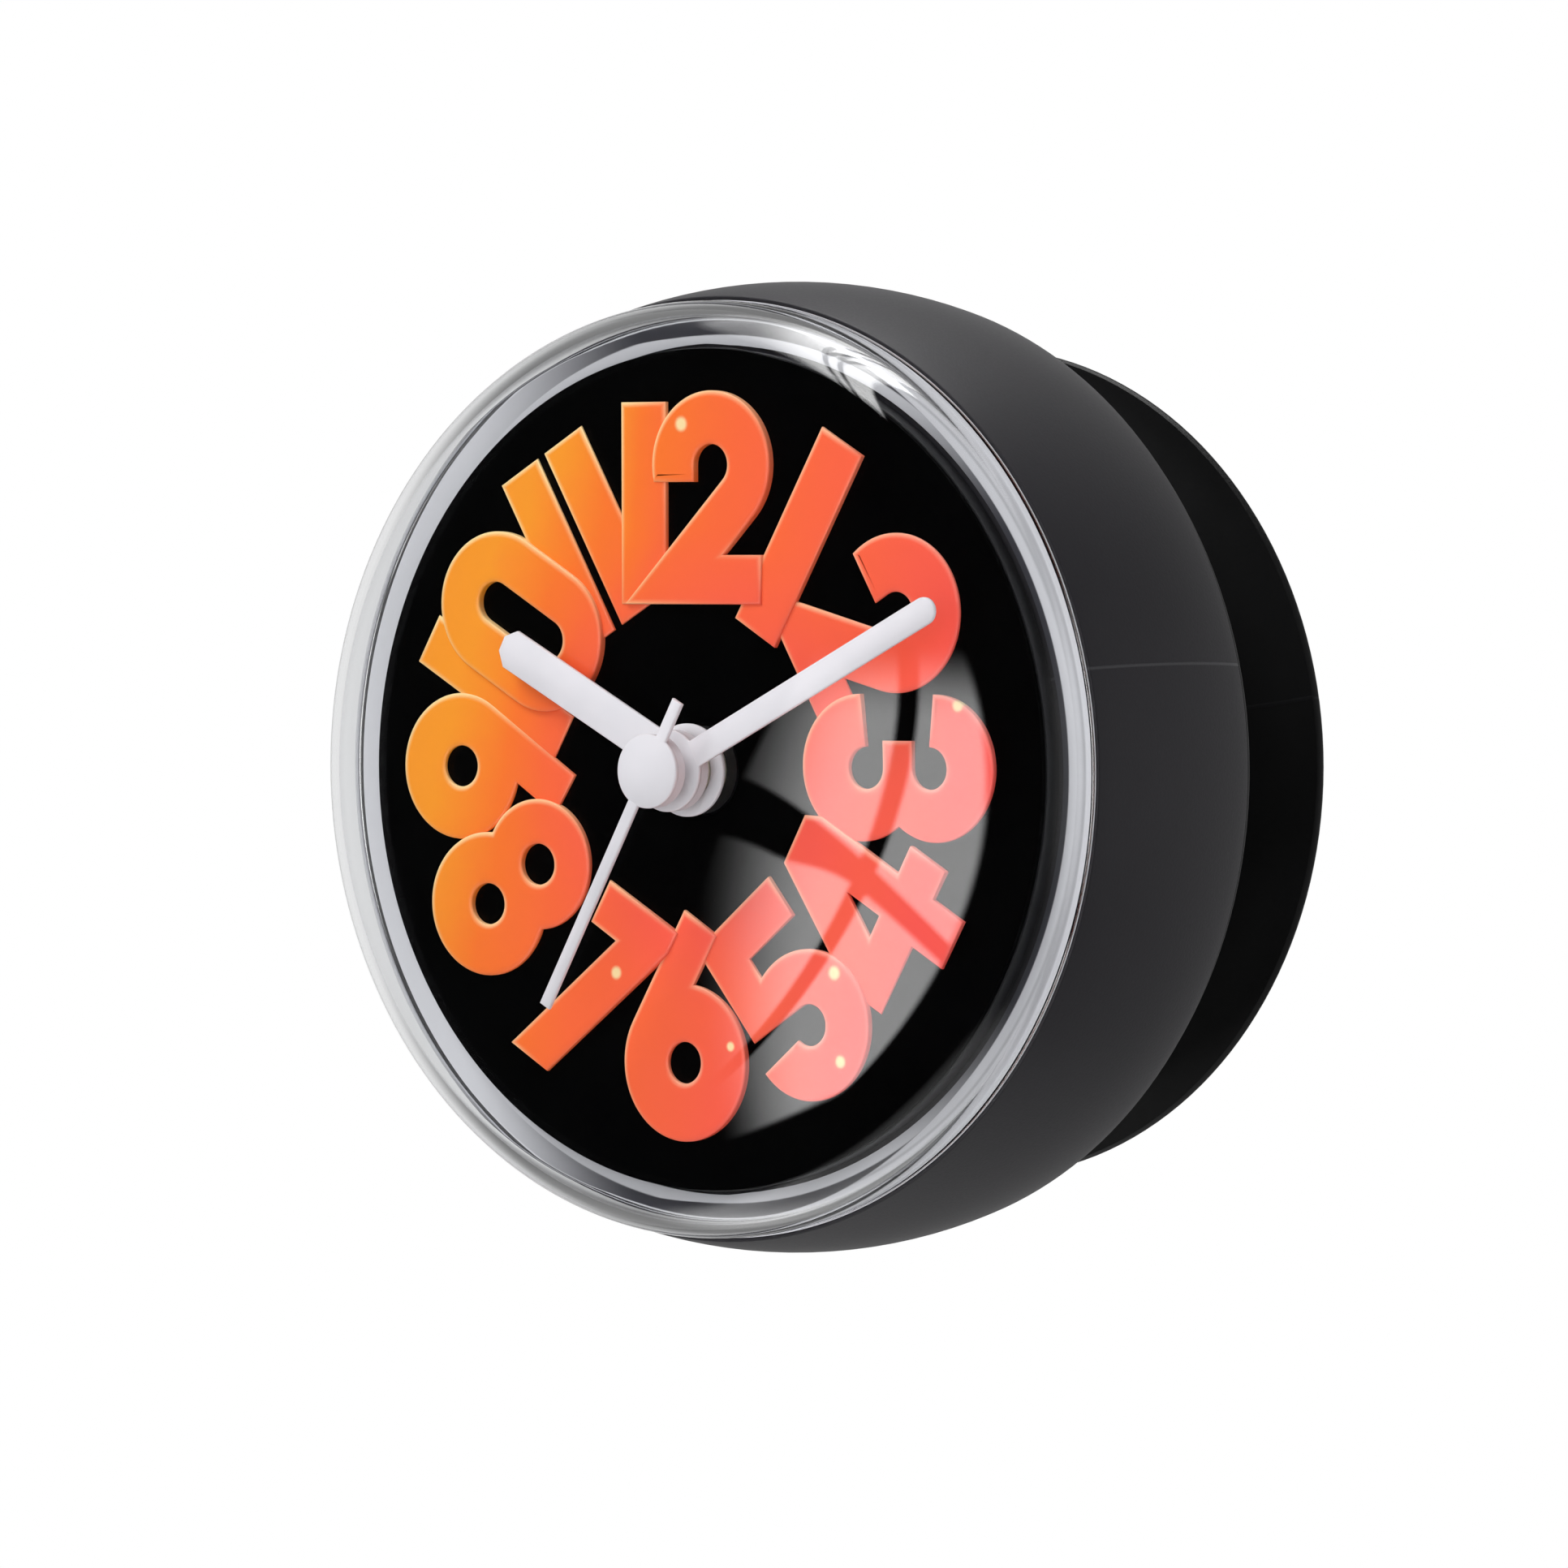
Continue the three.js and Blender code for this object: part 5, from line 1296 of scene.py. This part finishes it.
@dataclass
class Numerals:
    """Glossy figures that lap over one another round the dial, each with a rounded front edge.

    A figure that laps over one neighbour and under the other leans a little, so its face is a plane
    whose height changes by its slope times the distance from its hour line.
    """

    unit: float = 0.985
    circle: float = 20.0
    seat: float = 34.65
    low: float = 0.25
    middle: float = 0.42
    high: float = 0.6
    step: float = 0.05
    lean: float = 0.03
    bevel: float = 0.5
    bevel_depth: float = 0.14
    bevel_reach: float = 1.1
    bevel_points: int = 6
    # light: direction (x, z) that the painted edge highlights face; least: painted highlight on an edge that
    # faces away
    light: Tuple[float, float] = (-0.6, 0.8)
    least: float = 0.1

    def figures(self) -> List[Figure]:
        """Every figure of the dial."""
        f = Figures()
        low, middle, high, lean, out = self.low, self.middle, self.high, self.lean, Facing.FOOT_OUT
        return [
            Figure("numeral_12_two", 12, f.two(1.25, 2.55, 5.5, -7.75, 5.95), high),
            Figure("numeral_12_one", 12, f.one(-7.3, -7.75, -3.1, 7.25), middle),
            Figure("numeral_1", 1, f.one(-2.75, -8.6, 1.6, 7.6), middle, lean),
            Figure("numeral_2", 2, f.two(-1.05, 1.5, 5.85, -8.6, 3.7), low),
            Figure("numeral_3", 3, f.three(-0.35, 1.75, 5.4, -2.35), middle, -lean),
            Figure("numeral_4", 4, f.four((-1.1, 2.9), -6.5, 9.8, (-6.9, 5.25, 0.3)), middle, -lean, out),
            Figure("numeral_5", 5, f.five(-0.6, -1.2, 5.6, 9.6, 3.3), middle, -lean, out, 9.0),
            Figure("numeral_6", 6, f.six(-1.35, -1.75, 5.85, 30.7, 9.7), middle, -lean, out),
            Figure("numeral_7", 7, f.seven(-3.2, 4.4, -6.95, 8.5, -3.2), middle, -lean, out),
            Figure("numeral_8", 8, f.eight(-1.35, 3.1, 4.9, (-1.1, -2.6, 5.4)), middle, lean, out),
            Figure("numeral_9", 9, f.six(0.0, 2.85, 5.5, 33.0, 9.5, True), low + self.step),
            Figure("numeral_10_zero", 10, f.zero(1.05, 0.05, 5.45, 8.05), high),
            Figure("numeral_10_one", 10, f.one(-6.75, -7.6, -2.7, 7.4), low - self.step),
            Figure("numeral_11_first", 11, f.one(-5.85, -7.0, -1.85, 7.75), low),
            Figure("numeral_11_second", 11, f.one(-1.1, -7.0, 3.0, 7.75), low),
        ]

    def levels(self, top: float) -> List[Tuple[float, float]]:
        """Edge profile of a figure: a side, a quarter ellipse and a narrow flat at its end."""
        turn = np.radians(np.linspace(0.0, 90.0, self.bevel_points))
        inward = self.bevel * (1.0 - np.cos(turn))
        height = top - self.bevel_depth * (1.0 - np.sin(turn))
        return [(0.0, 0.0), *zip(inward.tolist(), height.tolist()), (self.bevel_reach * self.bevel, top)]

    def leaning(self, figure: Figure) -> Callable[[Points, float], Points]:
        """A seat on the dial whose height changes across the hour line.

        Args:
            figure: the figure that is seated.
        Returns:
            The seat: above the foot, h becomes h + slope (x cos a - z sin a).
        """
        flat = on_dial(30.0 * figure.hour + figure.facing.value, self.seat)
        hour = math.radians(30.0 * figure.hour)

        def seat(points: Points, height: float) -> Points:
            """Places outline points at a height."""
            placed = flat(points, height)
            if height > 0.0:
                across = placed[:, 0] * math.cos(hour) - placed[:, 2] * math.sin(hour)
                placed[:, 1] -= figure.slope * across
            return placed

        return seat

    def edge_highlight_shares(
        self, loops: Sequence[Points], levels: Sequence[Tuple[float, float]], angle: float,
    ) -> np.ndarray:
        """How much painted highlight each vertex of a plate carries: 0 on its face, up to 1 on an edge that
        faces the light.

        Args:
            loops: the plate's outlines.
            levels: its edge profile.
            angle: its turn on the dial in degrees.
        Returns:
            One share for each vertex, in the plate's order.
        """
        turn = math.radians(angle)
        shares: List[np.ndarray] = []
        for loop in loops:
            outward = loop - inset(loop, 1.0)
            outward /= np.linalg.norm(outward, axis=1, keepdims=True)
            x = outward[:, 0] * math.cos(turn) + outward[:, 1] * math.sin(turn)
            z = outward[:, 1] * math.cos(turn) - outward[:, 0] * math.sin(turn)
            # painted highlight: more where the edge faces the light
            facing = 0.5 + 0.5 * (x * self.light[0] + z * self.light[1])
            edge = self.least + (1.0 - self.least) * facing
            shares += [edge * max(0.0, 1.0 - inward / self.bevel) for inward, _ in levels]
        return np.concatenate(shares)

    def build(self, finishes: Finishes) -> None:
        """Makes the figures, and notes on each vertex its painted edge highlight and where it lies across."""
        for figure in self.figures():
            lean = math.radians(figure.tilt)
            spin = np.array([[math.cos(lean), math.sin(lean)], [-math.sin(lean), math.cos(lean)]])
            out = self.circle if figure.facing is Facing.FOOT_IN else -self.circle
            placed = [self.unit * (loop @ spin + np.array([0.0, out])) for loop in figure.loops]
            levels = self.levels(figure.height)
            piece = plate(figure.node + "_figure", placed, levels, self.leaning(figure), finishes.numeral)
            shares = self.edge_highlight_shares(placed, levels, 30.0 * figure.hour + figure.facing.value)
            places = np.empty(3 * len(shares))
            piece.data.vertices.foreach_get("co", places)
            x = places[::3]
            across = (x - x.min()) / (x.max() - x.min())
            for name, values in ((NumeralFinish.EDGE_HIGHLIGHT, shares), (NumeralFinish.ACROSS, across)):
                piece.data.attributes.new(name, "FLOAT", "POINT").data.foreach_set("value", values)
            settle(piece, Body.CASE, slot_of(figure.node), figure.node)


@dataclass
class Hand:
    """One hand: a straight blade with a hub disc, and a boss behind the hub."""

    node: str
    body: Body
    angle: float
    length: float
    width: float
    hub: float
    height: float
    boss: float = 0.0
    bore: float = 0.0
    tail: float = 0.0
    end: HandEnd = HandEnd.ROUND
    corner_cut: float = 0.9
    thickness: float = 0.4
    dial_face: float = 34.6
    soft: float = 0.08
    boss_bore: float = 0.5
    boss_inset: float = 0.05
    boss_gap: float = 0.01
    boss_sides: int = 72

    def outline(self) -> Points:
        """Blade and hub as one outline; the blade meets the hub where its half width is the sine.

        Returns:
            Points, counter-clockwise, with the blade pointing up.
        """
        half = 0.5 * self.width
        meet = math.degrees(math.asin(half / self.hub))
        if self.end is HandEnd.ROUND:
            tip = arc((0.0, self.length - half), half, 0.0, 180.0, 12.0)
        elif self.end is HandEnd.CUT:
            low, narrow = self.length - self.corner_cut, half - self.corner_cut
            tip = np.array([[half, low], [narrow, self.length], [-narrow, self.length], [-half, low]])
        else:
            tip = np.array([[half, self.length], [-half, self.length]])
        hub = [arc((0.0, 0.0), self.hub, 90.0 + meet, 450.0 - meet)]
        if self.tail:
            hub = [
                arc((0.0, 0.0), self.hub, 90.0 + meet, 270.0 - meet),
                np.array([[-half, -self.tail], [half, -self.tail]]),
                arc((0.0, 0.0), self.hub, 270.0 + meet, 450.0 - meet),
            ]
        return path(tip, *hub)

    def build(self, finishes: Finishes) -> None:
        """Makes the blade with softened edges, and the boss as a turned ring."""
        loops = [self.outline()]
        if self.bore:
            loops.append(arc((0.0, 0.0), self.bore, 360.0, 10.0, 10.0))
        top, soft = self.thickness, self.soft
        levels = [(soft, 0.0), (0.0, soft), (0.0, top - soft), (soft, top)]
        station = self.dial_face + self.height
        blade = plate(self.node + "_blade", loops, levels, on_dial(self.angle, station), finishes.hand)
        settle(blade, self.body, "hand_white", self.node)
        if self.boss:
            inner, outer = self.bore or self.boss_bore, self.hub - self.boss_inset
            back, front = station - self.boss, station - self.boss_gap
            ring = np.array([[inner, back], [outer, back], [outer, front], [inner, front]])
            boss = lathe(self.node + "_boss", ring, finishes.hand, self.boss_sides)
            settle(boss, self.body, "hand_white")


@dataclass
class Hands:
    """The three hands, at the photograph's time."""

    hands: Tuple[Hand, ...] = (
        Hand(
            "hour_hand", Body.HOURS, angle=297.8, length=19.6, width=3.0, hub=3.4, height=1.5,
            bore=2.24, end=HandEnd.CUT,
        ),
        Hand(
            "minute_hand", Body.MINUTES, angle=63.4, length=27.0, width=2.0, hub=3.0, height=3.8,
            boss=0.8, bore=1.22,
        ),
        Hand(
            "second_hand", Body.SECONDS, angle=208.8, length=19.7, width=0.95, hub=2.7, height=6.1,
            boss=0.8, tail=5.8, end=HandEnd.SQUARE,
        ),
    )

    def build(self, finishes: Finishes) -> None:
        """Makes the hands."""
        for hand in self.hands:
            hand.build(finishes)


@dataclass
class Movement:
    """The pieces inside the case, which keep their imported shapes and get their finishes."""

    def build(self, finishes: Finishes) -> None:
        """Dresses each node."""
        dressed = {
            finishes.black: ("movement_front", "movement_back", "setting_knob", "chip"),
            finishes.steel: (
                "movement_screw_1", "movement_screw_2", "movement_screw_3", "rotor", "stator", "coil_core",
                "quartz_crystal", "button_cell",
            ),
            finishes.wheel: (
                "step_wheel", "second_wheel", "third_wheel", "minute_wheel", "hour_wheel", "setting_shaft",
                "coil_bobbin",
            ),
            finishes.brass: ("centre_wheel", "minute_arbor", "negative_contact", "positive_contact"),
            finishes.copper: ("coil_winding",),
            finishes.board: ("circuit_board",),
        }
        for material, nodes in dressed.items():
            for node in nodes:
                mesh = frame["nodes"][node].data
                mesh.materials.clear()
                mesh.materials.append(material)
                LOG.info("%s is dressed in %s", node, material.name)


# Stage


def face_dial(
    thing: bpy.types.Object, azimuth: float, elevation: float, distance: float, station: float,
) -> None:
    """Puts a camera or a lamp in front of the dial and aims it at a point of the clock axis.

    Args:
        thing: the camera or the lamp.
        azimuth: direction in degrees from the clock axis, positive to the right.
        elevation: degrees above the level.
        distance: millimetres from the point that it is aimed at.
        station: station of that point.
    """
    turn, rise = math.radians(azimuth), math.radians(elevation)
    away = distance * math.cos(rise)
    thing.location = (
        away * math.sin(turn) * MM,
        -(station + away * math.cos(turn)) * MM,
        distance * math.sin(rise) * MM,
    )
    thing.rotation_euler = (0.5 * math.pi - rise, 0.0, turn)
    bpy.context.scene.collection.objects.link(thing)


@dataclass(frozen=True)
class Lamp:
    """A soft area lamp that faces the dial, and that shiny surfaces don't mirror."""

    name: str
    azimuth: float
    elevation: float
    width: float
    height: float
    radiance: float
    distance: float = 1000.0

    def build(self, station: float) -> None:
        """Adds the lamp, aimed at a station; its power is pi x width x height x radiance."""
        data = bpy.data.lights.new(self.name, "AREA")
        data.shape = "RECTANGLE"
        data.size, data.size_y = self.width * MM, self.height * MM
        data.energy = math.pi * self.width * MM * self.height * MM * self.radiance
        lamp = bpy.data.objects.new(self.name, data)
        lamp.visible_camera = False
        lamp.visible_glossy = False
        lamp.visible_transmission = False
        face_dial(lamp, self.azimuth, self.elevation, self.distance, station)


@dataclass(frozen=True)
class Window:
    """A window of four panes in front of the clock.

    On a plane square to the clock axis a direction is (u, v) = (x, z) / -y. The upright bar is
    u = upright_lean v - bow v^2, and the level bar is v = -(level_drop + level_lean u + level_bow u^2).
    The window ends on the right at u = right - bow (v + right_drop)^2, on the left at
    u = left_lean v - left and below at v = low_lean u - low. It fades out at its top, and to the left
    with u - fade_lean v.
    """

    level: float = 3.3
    bow: float = 0.9
    upright_lean: float = 0.22
    upright_bar: Tuple[float, float] = (0.016, 0.03)
    level_drop: float = 0.31
    level_lean: float = 1.1
    level_bow: float = 1.16
    level_bar: Tuple[float, float] = (0.028, 0.045)
    widening: float = 0.055
    wide_until: Tuple[float, float] = (-0.3, -0.1)
    right: float = 0.182
    right_drop: float = 0.03
    left: float = 0.339
    left_lean: float = 0.64
    low: float = 0.613
    low_lean: float = 0.46
    edge: float = 0.012
    top: float = 0.16
    top_fade: float = 0.08
    fade_lean: float = 0.355
    fade: Tuple[float, float] = (-0.45, -0.1)
    fade_power: float = 1.6
    facing: Tuple[float, float] = (0.2, 0.3)

    def light(self, side: Field, ahead: Field, up: Field) -> Field:
        """Level of light from a direction.

        Args:
            side: the direction's x.
            ahead: its y.
            up: its z.
        Returns:
            The level.
        """
        front = -1.0 * ahead
        depth = front.math("MAXIMUM", LEAST_SLOPE)
        u, v = side / depth, up / depth
        upright = u + self.bow * v ** 2.0 - self.upright_lean * v
        lying = v + self.level_drop + self.level_lean * u + self.level_bow * u ** 2.0
        under = -1.0 * lying - self.widening * (1.0 - u.ramp(*self.wide_until))
        panes = lying.ramp(*self.level_bar) + under.ramp(*self.level_bar)
        panes = panes * upright.size().ramp(*self.upright_bar)
        ends = (
            self.right - self.bow * (v + self.right_drop) ** 2.0 - u,
            u + self.left - self.left_lean * v,
            v + self.low - self.low_lean * u,
        )
        for end in ends:
            panes = panes * end.ramp(-self.edge, self.edge)
        inside = (self.top - v).ramp(-self.top_fade, self.top_fade) * front.ramp(*self.facing)
        fade = (u - self.fade_lean * v).ramp(*self.fade) ** self.fade_power
        return self.level * panes * inside * fade


@dataclass(frozen=True)
class Panel:
    """A panel above the clock, which ends sharply on its right, fades to its left and has two bars."""

    level: float = 6.0
    beside: float = 1.4
    start: Tuple[float, float] = (-0.5, -0.2)
    end: Tuple[float, float] = (0.0, 0.03)
    bars: Tuple[float, float] = (-0.18, -0.12)
    bar_edge: Tuple[float, float] = (0.007, 0.0175)
    bar_share: float = 0.1
    steep: Tuple[float, float] = (0.81, 0.85)

    def light(self, side: Field, up: Field) -> Field:
        """Level of light from a direction, by its lean x / z.

        Args:
            side: the direction's x.
            up: its z.
        Returns:
            The level, darker on the two bars.
        """
        lean = side / up.math("MAXIMUM", LEAST_SLOPE)
        panel = lean.ramp(*self.start)
        first, second = ((lean - place).size().ramp(*self.bar_edge) for place in self.bars)
        between = self.bar_share + (1.0 - self.bar_share) * first * second
        lit = panel * (1.0 - lean.ramp(*self.end)) * between
        return up.ramp(*self.steep) * (self.level * lit + self.beside * (1.0 - panel))


@dataclass(frozen=True)
class FloorGlow:
    """Light from the floor, which is weaker on its right."""

    level: float = 1.3
    steep: Tuple[float, float] = (0.72, 0.84)
    fade: Tuple[float, float] = (-0.6, -0.2)
    loss: float = 0.75

    def light(self, side: Field, up: Field) -> Field:
        """Level of light from a direction, by its lean x / -z.

        Args:
            side: the direction's x.
            up: its z.
        Returns:
            The level.
        """
        down = -1.0 * up
        lean = side / down.math("MAXIMUM", LEAST_SLOPE)
        return self.level * down.ramp(*self.steep) * (1.0 - self.loss * lean.ramp(*self.fade))


@dataclass
class Studio:
    """Camera at the photograph's angle, soft lamps, a pale floor and white surroundings."""

    azimuth: float = 38.23
    elevation: float = 1.2
    distance: float = 700.0
    focal_pixels: float = 11773.0
    centre_pixel: Tuple[float, float] = (860.5, 948.5)
    aim_station: float = 35.3
    sensor: float = 36.0
    floor_drop: float = 260.0
    floor_half: float = 900.0
    floor_roughness: float = 0.7
    ambient: float = 0.45
    dark: float = 0.004
    right_wall: float = 0.3
    left_wall: float = 0.8
    wall_turn: Tuple[float, float] = (-0.1, 0.15)
    wall_start: Tuple[float, float] = (-0.2, 0.1)
    wall_fade: Tuple[float, float] = (0.15, 0.5)
    wall_loss: float = 0.75
    window: Window = Window()
    panel: Panel = Panel()
    glow: FloorGlow = FloorGlow()
    lamps: Tuple[Lamp, ...] = (
        Lamp("key", azimuth=-38.0, elevation=52.0, width=500.0, height=400.0, radiance=11.4),
        Lamp("fill", azimuth=10.0, elevation=10.0, width=900.0, height=900.0, radiance=1.1),
        Lamp("side", azimuth=112.0, elevation=8.0, width=800.0, height=800.0, radiance=1.6),
    )

    def camera(self) -> None:
        """A camera aimed at the dial's centre, shifted to the photograph's framing."""
        data = bpy.data.cameras.new("camera")
        data.sensor_width = self.sensor
        data.lens = self.sensor * self.focal_pixels / PHOTO_PIXELS
        data.shift_x = 0.5 - self.centre_pixel[0] / PHOTO_PIXELS
        data.shift_y = self.centre_pixel[1] / PHOTO_PIXELS - 0.5
        camera = bpy.data.objects.new("camera", data)
        face_dial(camera, self.azimuth, self.elevation, self.distance, self.aim_station)
        bpy.context.scene.camera = camera

    def world(self) -> None:
        """White surroundings for what is seen; a studio with a window for what is mirrored or bent."""
        world = bpy.data.worlds.new("studio")
        world.use_nodes = True
        bpy.context.scene.world = world
        shader = Shader(world.node_tree)
        way = shader.node("ShaderNodeTexCoord", {}, {}, "Generated")
        parts = shader.make("ShaderNodeSeparateXYZ", {}, {0: way})
        side, ahead, up = (Field(shader, socket) for socket in parts.outputs)
        rays = shader.make("ShaderNodeLightPath", {}, {}).outputs
        kinds = ("Is Camera Ray", "Is Glossy Ray", "Is Transmission Ray")
        seen, glossy, bent = (Field(shader, rays[kind]) for kind in kinds)
        mirrored = glossy.math("MAXIMUM", bent)
        left = 1.0 - side.ramp(*self.wall_turn)
        wall = self.right_wall + (self.left_wall - self.right_wall) * left
        wall = wall * (1.0 - self.wall_loss * up.size().ramp(*self.wall_fade))
        studio = self.dark + ahead.ramp(*self.wall_start) * wall + self.window.light(side, ahead, up)
        studio = studio + self.panel.light(side, up) + self.glow.light(side, up)
        level = seen + (1.0 - seen) * (mirrored * studio + (1.0 - mirrored) * self.ambient)
        white = {"Color": (1.0, 1.0, 1.0, 1.0), "Strength": level}
        shader.output(shader.node("ShaderNodeBackground", {}, white), "ShaderNodeOutputWorld")

    def floor(self) -> None:
        """A pale floor below the clock, as one square."""
        half, drop = self.floor_half, -self.floor_drop
        corners = [[-half, -half, drop], [half, -half, drop], [half, half, drop], [-half, half, drop]]
        material = MouldedFinish(
            "pale_floor", (0.86, 0.86, 0.86), (0.84, 0.84, 0.84), roughness=self.floor_roughness,
        ).build()
        floor = mesh_object("floor", np.array(corners) * MM, [[0, 1, 2, 3]], material)
        floor.visible_glossy = False
        floor.visible_transmission = False

    def build(self) -> None:
        """Sets the stage."""
        self.camera()
        self.world()
        self.floor()
        for lamp in self.lamps:
            lamp.build(self.aim_station)
        bpy.context.scene.view_settings.view_transform = "Standard"


def main() -> None:
    """Builds the clock and its stage."""
    logging.basicConfig(level=logging.INFO)
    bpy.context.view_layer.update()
    finishes = Finishes()
    for part in (
        SuctionCup(), RearCover(), CaseShell(), Lens(), Dial(), Numerals(), Hands(), Movement(),
    ):
        part.build(finishes)
    Studio().build()


if __name__ == "__main__":
    main()
